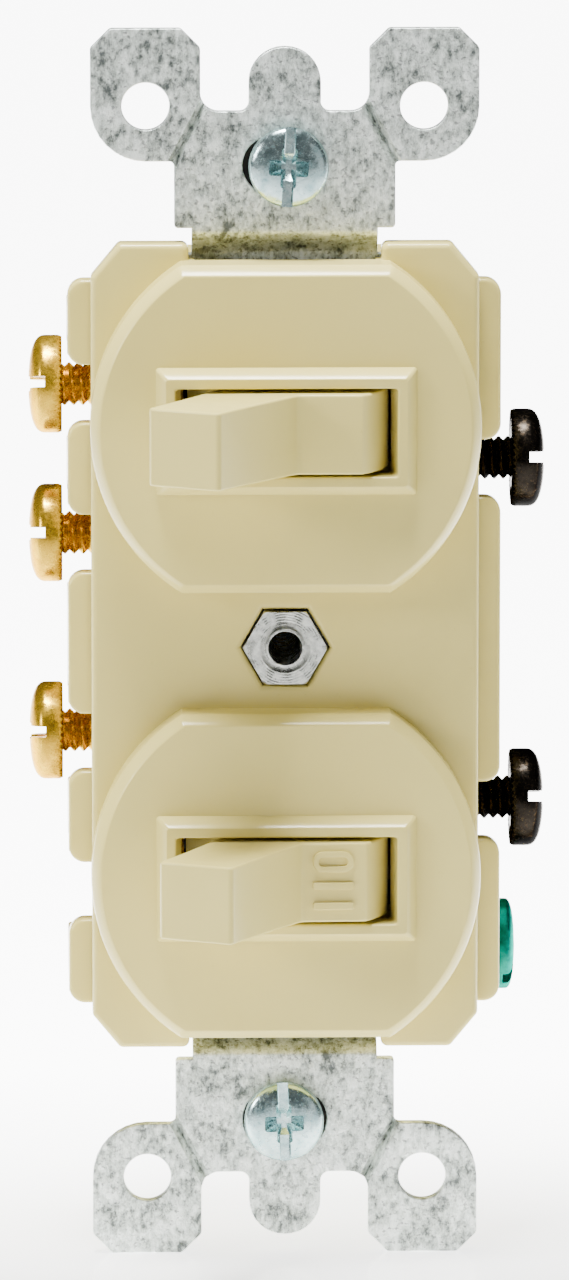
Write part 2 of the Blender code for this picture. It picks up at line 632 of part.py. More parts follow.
def make_terminals():
    for name, side, low, high, screw_z in strip_entries():
        strip = strip_outline(name, side, low, high)
        back = STRIP_FRONT + STRIP_THICK
        made = sheet(name, strip, STRIP_FRONT, back, "brass")
        plate_x = sorted((side * PLATE_IN_X, side * PLATE_OUT_X))
        plate = box(name + "_side", (plate_x[0], PLATE_FRONT, screw_z - TERMINAL_HALF_Z),
                    (plate_x[1], back, screw_z + TERMINAL_HALF_Z))
        boolean(made, plate, "UNION")
        boolean(made, rod(name + "_thread", SCREW_R + GAP, plate_x[0] - SINK,
                          plate_x[1] + SINK, "X", (0, SCREW_Y, screw_z), sides=24))
        if name.endswith("common_terminal"):
            centre = TOGGLE_Z if low > 0 else -TOGGLE_Z
            for toward in (1, -1):
                z0, z1 = sorted(centre + toward * edge for edge in ROCKER_EAR)
                ear = box(f"{name}_ear_{toward}", (-ROCKER_EAR_HALF, ROCKER_Y, z0),
                          (ROCKER_EAR_HALF, back - SINK / 5, z1))
                boolean(made, ear, "UNION")
            boolean(made, rod(name + "_pin_notch", ROCKER_PIN_R + GAP, centre - ROCKER_PIN_END,
                              centre + ROCKER_PIN_END, "Z", (0, ROCKER_Y, 0), sides=20))


def lever_frame(lean, centre_z):
    """Places a toggle's own axes: lever along local -y, straight out at no lean."""
    turn = Matrix.Rotation(math.radians(-lean), 4, "Z")
    return Matrix.Translation((0, PIVOT_Y, centre_z)) @ turn


def toggle_outline():
    tilt = math.radians(SHOULDER_TILT)
    root_v = LEVER_ROOT_HALF
    root_u = (SHOULDER - root_v * math.sin(tilt)) / math.cos(tilt)
    shoulder_end = SHOULDER_TILT + math.degrees(math.acos(SHOULDER / DRUM_R))
    half = [(0, LEVER_TIP), (LEVER_TIP_HALF, LEVER_TIP), (root_v, root_u)]
    steps = 8
    for i in range(steps + 1):
        a = math.radians(shoulder_end + (SKIRT_END - shoulder_end) * i / steps)
        half.append((DRUM_R * math.sin(a), DRUM_R * math.cos(a)))
    half += [(BARREL_HALF, -BARREL_END + BARREL_TAPER), (BARREL_HALF - BARREL_TAPER / 2, -BARREL_END)]
    outline = [(v, -u) for v, u in half]
    return outline + [(-x, y) for x, y in reversed(outline[1:])]


def make_toggle(word, lean, centre_z):
    frame = lever_frame(lean, centre_z)
    body = add(f"{word}_toggle", prism_mesh(toggle_outline(), 2 * DRUM_HALF_Z), "ivory", frame)
    trunnion = rod(f"{word}_trunnion", TRUNNION_R, -TRUNNION_END, TRUNNION_END, "Z", (0, 0, 0),
                   sides=24)
    trunnion.matrix_world = frame
    boolean(body, trunnion, "UNION")
    bore = rod(f"{word}_spring_bore", BORE_R, -BORE_TOP, FAR, "Y", (0, 0, 0),
               sides=24)
    bore.matrix_world = frame
    boolean(body, bore)
    return body


def make_plunger(word, toggle):
    """A round-nosed pin that slides in the toggle's bore; its spring sits on the shoulder."""
    nose = arc((0, 0), NOSE_R, 0, 90, 6)
    centre = NOSE_REACH - NOSE_R
    wide, narrow = PLUNGER_NECK
    pin_r, pin_top = SPRING_PIN
    profile = [(r, centre + h) for r, h in reversed(nose)]
    profile += [(NOSE_R, narrow), (PLUNGER_R, wide), (PLUNGER_R, SPRING_SEAT)]
    profile += [(pin_r, SPRING_SEAT), (pin_r, pin_top), (0, pin_top)]
    return turned(f"{word}_plunger", profile, "steel",
                  toggle.matrix_world @ Matrix.Rotation(math.radians(-90), 4, "X"), steps=14)


def make_spring(word, toggle):
    wire = SPRING_WIRE_R
    start, end = SPRING_SEAT - GAP - wire, -BORE_TOP + GAP + wire
    steps = 10
    count = SPRING_TURNS * steps
    curve = bpy.data.curves.new(f"{word}_spring", "CURVE")
    curve.dimensions = "3D"
    curve.bevel_depth = wire
    curve.bevel_resolution = 1
    curve.use_fill_caps = True
    spline = curve.splines.new("POLY")
    spline.points.add(count)
    for i, spot in enumerate(spline.points):
        a = 2 * math.pi * i / steps
        y = start + (end - start) * i / count
        spot.co = (SPRING_COIL_R * math.cos(a), y, SPRING_COIL_R * math.sin(a), 1)
    made = bpy.data.objects.new(f"{word}_spring", curve)
    made.matrix_world = toggle.matrix_world
    curve.materials.append(material("spring_steel"))
    PARTS.objects.link(made)
    return made


def dish_points(lean):
    """The rocker's dish: the plunger nose's path seen from the rocker, set off by a clearance."""
    steps = 24
    sweep = lean + DISH_OVERRUN

    def nose_centre(angle):
        a = math.radians(angle)
        reach = NOSE_REACH - NOSE_R
        x, y = -reach * math.sin(a), PIVOT_Y - ROCKER_Y + reach * math.cos(a)
        b = math.radians(-ROCKER_TILT * angle / lean)
        return Vector((x * math.cos(b) + y * math.sin(b), y * math.cos(b) - x * math.sin(b)))

    points = []
    for i in range(steps + 1):
        angle = -sweep + 2 * sweep * i / steps
        here = nose_centre(angle)
        along = (nose_centre(angle + 0.5) - nose_centre(angle - 0.5)).normalized()
        points.append(here + Vector((along.y, -along.x)) * (NOSE_R + GAP))
    return [(p.x, p.y) for p in points]


def make_rocker(word, lean, centre_z):
    frame = Matrix.Translation((0, ROCKER_Y, centre_z))
    frame = frame @ Matrix.Rotation(math.radians(ROCKER_TILT), 4, "Z")
    dish = dish_points(lean)
    lip_right, lip_left = dish[0], dish[-1]
    arm = ROCKER_ARM_HALF
    left, right = lip_left[0] - ROCKER_LIP, lip_right[0] + ROCKER_LIP
    outline = dish + [
        (left, lip_left[1]), (left, -arm), (-ROCKER_ARM, -arm), (-ROCKER_ARM, arm),
        (ROCKER_ARM, arm), (ROCKER_ARM, -arm), (right, -arm), (right, lip_right[1]),
    ]
    rocker = add(f"{word}_rocker", prism_mesh(outline, 2 * ROCKER_HALF_Z), "phenolic", frame)
    pin = rod(f"{word}_rocker_pin", ROCKER_PIN_R, -ROCKER_PIN_END, ROCKER_PIN_END, "Z",
              (0, 0, 0), sides=20)
    pin.matrix_world = frame
    boolean(rocker, pin, "UNION")
    return rocker


def make_contacts(word, rocker, centre_z, sides):
    """Silver buttons: a moving one under each rocker arm, and a fixed one that it meets."""
    tilt = math.radians(ROCKER_TILT)
    face = ROCKER_ARM_HALF + GAP + CONTACT_THICK
    for side in sides:
        hand = "right" if side > 0 else "left"
        moving = rod(f"{word}_moving_contact_{hand}", CONTACT_R, ROCKER_ARM_HALF + CONTACT_SEAT,
                     face - GAP, "Y", (side * CONTACT_X, 0, 0), "silver", sides=20)
        moving.matrix_world = rocker.matrix_world
        x = CONTACT_X * math.cos(tilt) - face * math.sin(tilt)
        y = ROCKER_Y + CONTACT_X * math.sin(tilt) + face * math.cos(tilt)
        rod(f"{word}_fixed_contact_{hand}", CONTACT_R, y + CONTACT_OPEN,
            STRIP_FRONT - CONTACT_SEAT, "Y", (side * x, 0, centre_z), "silver", sides=20)
        parent_keeping_place(moving, rocker)


def screw_profile(head_r, head_thick, length, dome):
    """Head above its underside at height 0, shank below, with a pointed end."""
    edge, rim, point = HEAD_EDGE, HEAD_RIM, SCREW_POINT
    return [
        (0, head_thick), (head_r / 2, head_thick - dome / 4),
        (head_r - edge, head_thick - dome), (head_r, head_thick - dome - edge),
        (head_r, rim), (head_r - rim, 0), (SCREW_R, 0),
        (SCREW_R, point - length), (SCREW_R - point, -length), (0, -length),
    ]


def make_screw(name, finish, head_r, head_thick, length, dome, axis, place):
    """A screw whose head points along one axis, with a driving slot across it."""
    z = Vector(axis)
    turn = z.to_track_quat("Z", "Y").to_matrix().to_4x4()
    matrix = Matrix.Translation(place) @ turn
    made = turned(name, screw_profile(head_r, head_thick, length, dome), finish, matrix, steps=20)
    drive = box(name + "_slot", (-FAR, -DRIVE_SLOT / 2, head_thick * SLOT_FLOOR),
                (FAR, DRIVE_SLOT / 2, FAR))
    drive.matrix_world = matrix
    boolean(made, drive)


def make_screws():
    brass = zip(("upper_brass_screw_a", "upper_brass_screw_b", "lower_brass_screw"),
                (LEFT_GAPS[1], LEFT_GAPS[0], LEFT_GAPS[2]))
    for name, z in brass:
        make_screw(name, "brass", HEAD_R, HEAD_THICK, SCREW_LENGTH, HEAD_DOME, (-1, 0, 0),
                   (-BRASS_HEAD_X, SCREW_Y, z))
    for name, z in zip(("upper_black_screw", "lower_black_screw"), RIGHT_GAPS):
        make_screw(name, "black_oxide", HEAD_R, HEAD_THICK, SCREW_LENGTH, HEAD_DOME, (1, 0, 0),
                   (BLACK_HEAD_X, SCREW_Y, z))
    make_screw("green_ground_screw", "green", GREEN_HEAD_R, GREEN_HEAD_THICK, GREEN_LENGTH,
               GREEN_HEAD_DOME, (1, 0, 0), (GREEN_HEAD_X, SCREW_Y, GREEN_Z))
    for side, word in ((1, "upper"), (-1, "lower")):
        make_screw(f"{word}_mounting_screw", "steel", MOUNT_HEAD_R, MOUNT_HEAD_THICK, MOUNT_LENGTH,
                   MOUNT_HEAD_DOME, (0, -1, 0), (0, YOKE_FRONT - GAP, side * MOUNT_Z))
        at = (0, 0, side * MOUNT_Z)
        washer = rod(f"{word}_retaining_washer", WASHER_R, GAP, GAP + WASHER_THICK, "Y", at, "fibre")
        boolean(washer, rod(f"{word}_washer_bore", SCREW_R + GAP, -FAR, FAR, "Y", at))


def make_center_post():
    """A hexagonal head with a threaded tube behind it, for the wall plate's screw."""
    hexagon = arc((0, 0), HEX_CORNERS / 2 - HEX_GAP, 0, 300, 5)
    post = sheet("center_post", hexagon, POST_FRONT, POST_FRONT + POST_FLANGE, "silver")
    boolean(post, rod("post_tube", POST_R, POST_FRONT + SINK, POST_END, "Y", (0, 0, 0), sides=28),
            "UNION")
    boolean(post, rod("post_thread", POST_BORE_R, -FAR, FAR, "Y", (0, 0, 0), sides=24))


def make_rivets():
    """Tubular rivets that hold cover, yoke and base together, heads sunk in the back."""
    head, seat = RIVET_HEAD_BACK, RIVET_HEAD_FRONT
    bore, depth = RIVET_TUBE
    bottom = head - depth
    edge = (head - seat) / 2
    for sx, hand in ((-1, "left"), (1, "right")):
        for sz, word in ((1, "upper"), (-1, "lower")):
            profile = [(0, bottom), (bore, bottom), (bore, head), (RIVET_HEAD_R - edge, head),
                       (RIVET_HEAD_R, head - edge), (RIVET_HEAD_R, seat), (RIVET_R, seat),
                       (RIVET_R, RIVET_FRONT), (0, RIVET_FRONT)]
            turned(f"{word}_{hand}_rivet", profile, "steel",
                   Matrix.Translation((sx * RIVET_X, 0, sz * RIVET_Z)) @ ACROSS.inverted(), steps=12)


def main():
    make_yoke()
    make_cover()
    make_base()
    make_terminals()
    for word, lean, z, sides in (("upper", UPPER_LEAN, TOGGLE_Z, (-1, 1)),
                                 ("lower", LOWER_LEAN, -TOGGLE_Z, (-1,))):
        toggle = make_toggle(word, lean, z)
        plunger = make_plunger(word, toggle)
        spring = make_spring(word, toggle)
        parent_keeping_place(plunger, toggle)
        parent_keeping_place(spring, toggle)
        rocker = make_rocker(word, lean, z)
        make_contacts(word, rocker, z, sides)
    make_screws()
    make_center_post()
    make_rivets()


main()
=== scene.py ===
"""Looks of the duplex toggle switch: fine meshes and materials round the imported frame.

X to the right, Z up, front towards -Y, metres. Pieces stand where the frame's nodes stand.
"""

import json
import math

import bmesh
import bpy
from mathutils import Matrix, Vector
from mathutils.geometry import delaunay_2d_cdt


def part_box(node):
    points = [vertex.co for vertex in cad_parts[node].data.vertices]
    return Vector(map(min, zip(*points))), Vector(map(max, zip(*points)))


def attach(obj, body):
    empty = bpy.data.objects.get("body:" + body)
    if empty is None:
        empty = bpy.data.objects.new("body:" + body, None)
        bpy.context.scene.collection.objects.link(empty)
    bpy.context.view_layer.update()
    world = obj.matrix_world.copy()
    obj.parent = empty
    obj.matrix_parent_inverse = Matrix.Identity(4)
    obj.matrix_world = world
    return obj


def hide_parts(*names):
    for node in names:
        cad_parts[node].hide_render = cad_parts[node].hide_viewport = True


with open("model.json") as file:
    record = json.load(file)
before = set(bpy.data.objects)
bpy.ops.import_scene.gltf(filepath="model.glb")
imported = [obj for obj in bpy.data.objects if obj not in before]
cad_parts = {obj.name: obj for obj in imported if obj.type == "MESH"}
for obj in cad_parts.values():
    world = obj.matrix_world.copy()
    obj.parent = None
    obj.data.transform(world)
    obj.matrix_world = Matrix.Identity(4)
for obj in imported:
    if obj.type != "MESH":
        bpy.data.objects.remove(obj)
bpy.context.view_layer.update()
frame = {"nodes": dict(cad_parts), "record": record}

MM = 0.001
ACROSS = Matrix.Rotation(math.radians(90), 4, "X")     # local z becomes -y, local y becomes z
BACKWARDS = ACROSS.inverted()                          # local z becomes y
FAR = 40 * MM                                          # past the ends of the cover and the base
CLEARANCE = 0.3 * MM
CORNERS = [(sx, sz) for sx in (1, -1) for sz in (1, -1)]

# Yoke
YOKE_LOW, YOKE_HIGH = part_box("yoke")
STEEL = 1.2 * MM
STEEL_EDGE = 0.12 * MM
EAR_TIP_Z = YOKE_HIGH.z
EAR_OUTER_X = 16.7 * MM
EAR_INNER_X = 7.25 * MM
EAR_CHAMFER = 1.7 * MM
EAR_HOLE = (11.95 * MM, 46.8 * MM)     # centre, x and z
EAR_HOLE_R = 2.05 * MM
EAR_CORNER_R = EAR_OUTER_X - EAR_HOLE[0]
PLATE_HALF = 9.5 * MM
PLATE_IN_Z = 36.3 * MM
PLATE_OUT_Z = 46.35 * MM
TAB_HALF = 3.1 * MM
TAB_TIP_Z = 51.9 * MM
MOUNT_Z = 41.67 * MM
SLOT_LENGTH = 7.3 * MM
SLOT_HEIGHT = 5.0 * MM
NECK_HALF = 8.0 * MM
JOGGLE = 1.6 * MM                      # how far back the strap's middle stands
STRAP_END_Z = 33.9 * MM
BEND_IN_Z = 34.0 * MM
BEND_OUT_Z = 36.1 * MM
STRAP_HALF = 14.2 * MM
WINDOW_HALF_X = 9.6 * MM
WINDOW_HALF_Z = 6.2 * MM
POST_HOLE_R = 2.0 * MM
RIVET_HOLE_R = 1.6 * MM
SCORE_HALF = 0.5 * MM                  # half the width of an ear's break-off groove
SCORE_BACK_DEPTH = 0.25 * MM
SCORE_FRONT_DEPTH = 0.75 * MM
GROUND_TAB_X = YOKE_HIGH.x - 0.5 * MM
GROUND_TAB_Z = (-31.4 * MM, -24.4 * MM)
GROUND_TAB_BACK = YOKE_HIGH.y
GROUND_SCREW_Z = -27.8 * MM

# Cover
COVER_LOW, COVER_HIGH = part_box("cover")
TOGGLE_Z = 19.45 * MM
COVER_HALF_X = 16.7 * MM
COVER_HALF_Z = COVER_HIGH.z
COVER_CHAMFER = (2.4 * MM, 2.9 * MM)   # in x and z
COVER_CORNER_R = 0.6 * MM
COVER_EDGE = 0.5 * MM
COVER_NOTCH_HALF = 8.3 * MM
COVER_NOTCH = 1.5 * MM
COVER_FRONT = -2.4 * MM
COVER_BACK = COVER_HIGH.y
COVER_WALL = 1.8 * MM
RELIEF_HALF = 7.8 * MM                 # the strap's neck passes under the cover's ends here
RELIEF_FRONT = -1.4 * MM
DISC_R = 16.8 * MM
DISC_HALF_Z = 14.2 * MM
DISC_FRONT = -6.7 * MM
DISC_BEVEL = 0.95 * MM
FRAME_HALF = (11.2 * MM, 5.5 * MM)     # half its width and its height
FRAME_FRONT = COVER_LOW.y
FRAME_BEVEL = 0.9 * MM
OPENING_HALF = (9.5 * MM, 3.8 * MM)
OPENING_DRAFT = 0.5 * MM
OPENING_LIP = 0.22 * MM
HEX_R = 3.85 * MM                      # the cover's hole, to its corners
POST_HEX_R = 3.65 * MM
BOSS_R = 2.4 * MM
RIVET_BORE_R = 1.5 * MM

# Base
CORE_HALF_X = 14.3 * MM
CORE_HALF_Z = 31.9 * MM
CORE_FRONT = 1.9 * MM
CORE_BACK = 24.0 * MM
CORE_WALL = 1.8 * MM
WING_X = 18.7 * MM
WING_FRONT = 0.4 * MM
WING_BACK = 2.6 * MM
WING_LIP_X = 16.5 * MM
WING_ROOT_X = CORE_HALF_X - 0.5 * MM   # inside the core's wall, so that the two join
RIB_BACK = 17.5 * MM
RIB_DROP = 3.3 * MM                    # the rib's top below the wing's top
RIB_RISE = 0.6 * MM
WING_R = 1.4 * MM
WING_END_Z = 31.65 * MM
LEFT_GAPS = (21.75 * MM, 8.7 * MM, -8.7 * MM, -21.75 * MM)
RIGHT_GAPS = (15.15 * MM, -14.8 * MM)
GAP_HALF = 2.5 * MM
SCOOP_R = 4.9 * MM
GROUND_SCOOP_R = 4.4 * MM
SCREW_HOLE_R = 2.25 * MM
GROUND_HOLE_R = 2.2 * MM
SCREW_HOLE_DEPTH = 5 * MM              # past the wall's inner face
SLOT_BACK = 16.4 * MM
RIVET_X = 8.6 * MM
RIVET_Z = 28.9 * MM
RIVET_HEAD_R = 2.0 * MM
COUNTERBORE = 1.2 * MM
CROSS_RIB = (3.9 * MM, 5.7 * MM)       # near and far edge, from a toggle's middle
TERMINAL_HALF_Z = 3.9 * MM
PLATE_OUT_X = 15.6 * MM
SCREW_Y = 7.3 * MM

# Toggles
PIVOT_Y = -3.0 * MM
LEAN = {"upper": 31.0, "lower": 27.5}  # degrees to the left, at rest
DRUM_R = 8.9 * MM
DRUM_HALF_Z = 3.45 * MM
SHOULDER = 6.0 * MM
SHOULDER_TILT = 30.0
SKIRT_END = 112.0
LEVER_TIP = 17.5 * MM
LEVER_TIP_HALF = 3.5 * MM
LEVER_ROOT_HALF = 3.9 * MM
TRUNNION_R = 1.55 * MM
TRUNNION_HALF = 5.4 * MM

# Screws
PITCH = 25.4 * MM / 32
THREAD_DEPTH = 0.36 * MM
SHANK_R = 1.88 * MM
HEAD_TEETH = 48
TOOTH_BITE = 0.24 * MM


# Meshes

def bare(name, shape, matrix=None):
    """An object from a bmesh, with no piece's finish yet."""
    bmesh.ops.recalc_face_normals(shape, faces=shape.faces)
    mesh = bpy.data.meshes.new(name)
    shape.to_mesh(mesh)
    shape.free()
    if matrix:
        mesh.transform(matrix)
    made = bpy.data.objects.new(name, mesh)
    bpy.context.scene.collection.objects.link(made)
    return made


def skin(name, loops, matrix=None):
    """A closed skin over loops of equally many points, with a flat end on the first and last."""
    shape = bmesh.new()
    rings = [[shape.verts.new(p) for p in loop] for loop in loops]
    for near, far in zip(rings, rings[1:]):
        for i in range(len(near)):
            shape.faces.new((near[i - 1], near[i], far[i], far[i - 1]))
    shape.faces.new(rings[0])
    shape.faces.new(rings[-1])
    bmesh.ops.remove_doubles(shape, verts=shape.verts, dist=1e-7)
    return bare(name, shape, matrix)


def turned(name, profile, matrix=None, steps=64):
    """A profile of (radius, height) turned about local z, from one end of the axis to the other."""
    loops = []
    for r, h in profile:
        angles = (2 * math.pi * i / steps for i in range(steps))
        loops.append([(r * math.cos(a), r * math.sin(a), h) for a in angles])
    return skin(name, loops, matrix)


def inset(loop, distance):
    """A loop of (u, v) moved to its own left by a distance, corners mitred."""
    moved = []
    for i, here in enumerate(loop):
        before, after = Vector(loop[i - 1]), Vector(loop[(i + 1) % len(loop)])
        into = (Vector(here) - before).normalized()
        out = (after - Vector(here)).normalized()
        left = Vector((-into.y - out.y, into.x + out.x)) / (1 + into.dot(out))
        moved.append(Vector(here) + left * distance)
    return moved


def turning(loop, anticlockwise):
    """The loop in the asked sense of rotation."""
    area = sum(a[0] * b[1] - b[0] * a[1] for a, b in zip(loop, loop[1:] + loop[:1]))
    return list(loop) if (area > 0) == anticlockwise else list(reversed(loop))


def inside(point, loops):
    """Whether a point is in an odd number of loops."""
    x, y = point
    crossings = 0
    for loop in loops:
        for (ax, ay), (bx, by) in zip(loop, loop[1:] + loop[:1]):
            if (ay > y) != (by > y) and x < ax + (y - ay) * (bx - ax) / (by - ay):
                crossings += 1
    return crossings % 2 == 1


def fill_flat(shape, rings):
    """Faces across flat rings of vertices, with the holes left open."""
    verts = [v for ring in rings for v in ring]
    flat = [Vector((v.co.x, v.co.y)) / MM for v in verts]
    edges, first = [], 0
    for ring in rings:
        count = len(ring)
        edges += [(first + i, first + (i + 1) % count) for i in range(count)]
        first += count
    loops = [[(v.co.x / MM, v.co.y / MM) for v in ring] for ring in rings]
    spots, _, faces, origin, _, _ = delaunay_2d_cdt(flat, edges, [], 0, 1e-6)
    for face in faces:
        centre = sum((spots[i] for i in face), Vector((0, 0))) / len(face)
        if inside(centre, loops):
            shape.faces.new([verts[origin[i][0]] for i in face])


def plate(name, outer, holes, low, high, edges, matrix=None, steps=3):
    """A flat outline with holes, between two heights, its low and high edges rounded."""
    loops = [turning(outer, True)] + [turning(hole, False) for hole in holes]
    quarter = [math.radians(90) * i / steps for i in range(steps + 1)]
    low_edge, high_edge = edges
    section = [(low_edge * (1 - math.sin(t)), low + low_edge * (1 - math.cos(t))) for t in quarter]
    section += [(high_edge * (1 - math.sin(t)), high - high_edge * (1 - math.cos(t)))
                for t in reversed(quarter)]
    shape = bmesh.new()
    ends = ([], [])
    for loop in loops:
        rings = []
        for distance, w in section:
            rings.append([shape.verts.new((p.x, p.y, w)) for p in inset(loop, distance)])
        for near, far in zip(rings, rings[1:]):
            for i in range(len(near)):
                shape.faces.new((near[i - 1], near[i], far[i], far[i - 1]))
        ends[0].append(rings[0])
        ends[1].append(rings[-1])
    for rings in ends:
        fill_flat(shape, rings)
    bmesh.ops.dissolve_degenerate(shape, dist=1e-8, edges=shape.edges)
    return bare(name, shape, matrix)


def upright(name, outer, holes, front, back, edges):
    """A plate seen from the front: its outline in x and z, its edges given as (front, back)."""
    return plate(name, outer, holes, -back, -front, (edges[1], edges[0]), ACROSS)


def arc(centre, radius, start, end, steps):
    angles = (math.radians(start + (end - start) * i / steps) for i in range(steps + 1))
    return [(centre[0] + radius * math.cos(a), centre[1] + radius * math.sin(a)) for a in angles]


def circle(centre, radius, steps=48):
    return arc(centre, radius, 0, 360 - 360 / steps, steps - 1)


def rectangle(x0, z0, x1, z1):
    return [(x0, z0), (x1, z0), (x1, z1), (x0, z1)]


def rounded(corners, steps=5):
    """A polygon of (x, z, radius), its corners rounded."""
    points = []
    for i, (x, z, radius) in enumerate(corners):
        here = Vector((x, z))
        if radius == 0:
            points.append((x, z))
            continue
        back = (Vector(corners[i - 1][:2]) - here).normalized()
        ahead = (Vector(corners[(i + 1) % len(corners)][:2]) - here).normalized()
        half = back.angle(ahead) / 2
        centre = here + (back + ahead).normalized() * radius / math.sin(half)
        start = here + back * radius / math.tan(half) - centre
        end = here + ahead * radius / math.tan(half) - centre
        sweep = math.atan2(start.x * end.y - start.y * end.x, start.dot(end))
        for k in range(steps + 1):
            a = sweep * k / steps
            points.append((centre.x + start.x * math.cos(a) - start.y * math.sin(a),
                           centre.y + start.x * math.sin(a) + start.y * math.cos(a)))
    return points


def rounded_box(x0, z0, x1, z1, radius, steps=5):
    return rounded([(x, z, radius) for x, z in rectangle(x0, z0, x1, z1)], steps)


def screw_axis(side, z):
    """Local z along a side screw, from the middle outwards: side is 1 at right and -1 at left."""
    return Matrix.Translation((0, SCREW_Y, z)) @ Matrix.Rotation(math.radians(90 * side), 4, "Y")


def rivet_axis(sx, sz, turn):
    """Local z along a rivet, forwards for ACROSS and back for BACKWARDS."""
    return Matrix.Translation((sx * RIVET_X, 0, sz * RIVET_Z)) @ turn


def boolean(target, tool, operation="DIFFERENCE"):
    """Cuts or joins a piece with a tool at once, and removes the tool."""
    modifier = target.modifiers.new("cut", "BOOLEAN")
    modifier.operation = operation
    modifier.object = tool
    modifier.solver = "EXACT"
    bpy.context.view_layer.update()
    depsgraph = bpy.context.evaluated_depsgraph_get()
    mesh = bpy.data.meshes.new_from_object(target.evaluated_get(depsgraph))
    target.modifiers.clear()
    old = target.data
    target.data = mesh
    bpy.data.meshes.remove(old)
    bpy.data.objects.remove(tool, do_unlink=True)


def piece(made, body, slot, finish, *nodes, angle=32):
    """Shades a mesh, gives it its finish and body, and lets it stand for its CAD nodes."""
    mesh = made.data
    mesh.shade_smooth()
    mesh.set_sharp_from_angle(angle=math.radians(angle))
    normals = made.modifiers.new("normals", "WEIGHTED_NORMAL")
    normals.keep_sharp = True
    mesh.materials.clear()
    mesh.materials.append(finish)
    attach(made, body)
    if nodes:
        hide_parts(*nodes)
    return made


# Finishes

class Finish:
    """A material under construction. Sockets given as values are set, and others are linked."""

    def __init__(self, name):
        self.material = bpy.data.materials.new(name)
        self.material.use_nodes = True
        self.tree = self.material.node_tree
        self.shader = self.tree.nodes["Principled BSDF"]
        self.place = self.node("ShaderNodeTexCoord").outputs["Object"]

    def node(self, kind, settings=None, **sockets):
        made = self.tree.nodes.new(kind)
        for key, value in (settings or {}).items():
            setattr(made, key, value)
        for key, value in sockets.items():
            self.set(made.inputs[key.replace("_", " ")], value)
        return made

    def set(self, socket, value):
        if isinstance(value, bpy.types.NodeSocket):
            self.tree.links.new(value, socket)
        else:
            socket.default_value = value

    def noise(self, size, detail=3.0, rough=0.5, stretch=None):
        """Noise between 0 and 1 with features of about a size in metres."""
        place = self.place
        if stretch:
            mapping = self.node("ShaderNodeMapping", Vector=place, Scale=stretch)
            place = mapping.outputs["Vector"]
        made = self.node("ShaderNodeTexNoise", Vector=place, Scale=1 / size, Detail=detail,
                         Roughness=rough)
        return made.outputs["Fac"]

    def spread(self, value, low, high, to_low=0.0, to_high=1.0):
        made = self.node("ShaderNodeMapRange", {"clamp": True})
        for socket, number in zip(made.inputs, (value, low, high, to_low, to_high)):
            self.set(socket, number)
        return made.outputs["Result"]

    def ramp(self, value, *stops):
        """Colours along a value: stops of (position, (r, g, b))."""
        made = self.node("ShaderNodeValToRGB", Fac=value)
        band = made.color_ramp
        while len(band.elements) < len(stops):
            band.elements.new(1.0)
        for element, (position, colour) in zip(band.elements, stops):
            element.position = position
            element.color = (*colour, 1)
        return made.outputs["Color"]

    def mix(self, factor, under, colour):
        """A plain colour (r, g, b) laid over what is under it."""
        made = self.node("ShaderNodeMix", {"data_type": "RGBA"})
        for index, value in ((0, factor), (6, under), (7, (*colour, 1))):
            self.set(made.inputs[index], value)
        return made.outputs[2]

    def math(self, operation, *values):
        made = self.node("ShaderNodeMath", {"operation": operation})
        for socket, value in zip(made.inputs, values):
            self.set(socket, value)
        return made.outputs["Value"]

    def bump(self, height, depth, before=None):
        made = self.node("ShaderNodeBump", Height=height, Strength=1.0, Distance=depth)
        if before:
            self.set(made.inputs["Normal"], before)
        return made.outputs["Normal"]

    def done(self, **sockets):
        for key, value in sockets.items():
            self.set(self.shader.inputs[key.replace("_", " ")], value)
        return self.material


def ivory_finish():
    f = Finish("ivory_plastic")
    cloud = f.noise(14 * MM, 3.0)
    fine = f.noise(1.1 * MM, 4.0)
    flow = f.noise(5 * MM, 2.0, stretch=(1.0, 1.0, 0.35))
    tint = f.ramp(cloud, (0.3, (0.69, 0.585, 0.18)), (0.7, (0.73, 0.625, 0.205)))
    specks = f.spread(f.noise(0.55 * MM, 2.0), 0.72, 0.78)
    tint = f.mix(f.math("MULTIPLY", specks, 0.12), tint, (0.45, 0.34, 0.08))
    grain = f.noise(0.18 * MM, 2.0)
    normal = f.bump(grain, 0.0035 * MM, f.bump(flow, 0.02 * MM))
    gloss = f.spread(fine, 0.3, 0.7, 0.18, 0.23)
    return f.done(Base_Color=tint, Roughness=gloss, Normal=normal, IOR=1.4)


def galvanised_finish():
    """Dull zinc: a mottled cloud, short bright streaks and dark pits."""
    f = Finish("galvanised_steel")
    cloud = f.noise(2.2 * MM, 7.0, 0.7)
    streaks = f.noise(0.55 * MM, 6.0, 0.72, stretch=(1.0, 1.0, 0.55))
    tone = f.math("ADD", f.math("MULTIPLY", cloud, 0.5), f.math("MULTIPLY", streaks, 0.5))
    tint = f.ramp(tone, (0.40, (0.12, 0.135, 0.13)), (0.49, (0.58, 0.635, 0.59)),
                  (0.58, (0.92, 0.97, 0.93)))
    pits = f.spread(f.noise(0.42 * MM, 4.0, 0.6, stretch=(0.7, 1.0, 1.0)), 0.58, 0.64)
    spots = f.spread(f.noise(1.3 * MM, 5.0, 0.65), 0.60, 0.66)
    marks = f.math("MAXIMUM", pits, spots)
    tint = f.mix(f.math("MULTIPLY", marks, 0.55), tint, (0.05, 0.055, 0.055))
    rough = f.spread(streaks, 0.3, 0.7, 0.30, 0.55)
    normal = f.bump(streaks, 0.12 * MM, f.bump(cloud, 0.08 * MM))
    return f.done(Base_Color=tint, Roughness=rough, Metallic=0.8, Normal=normal)


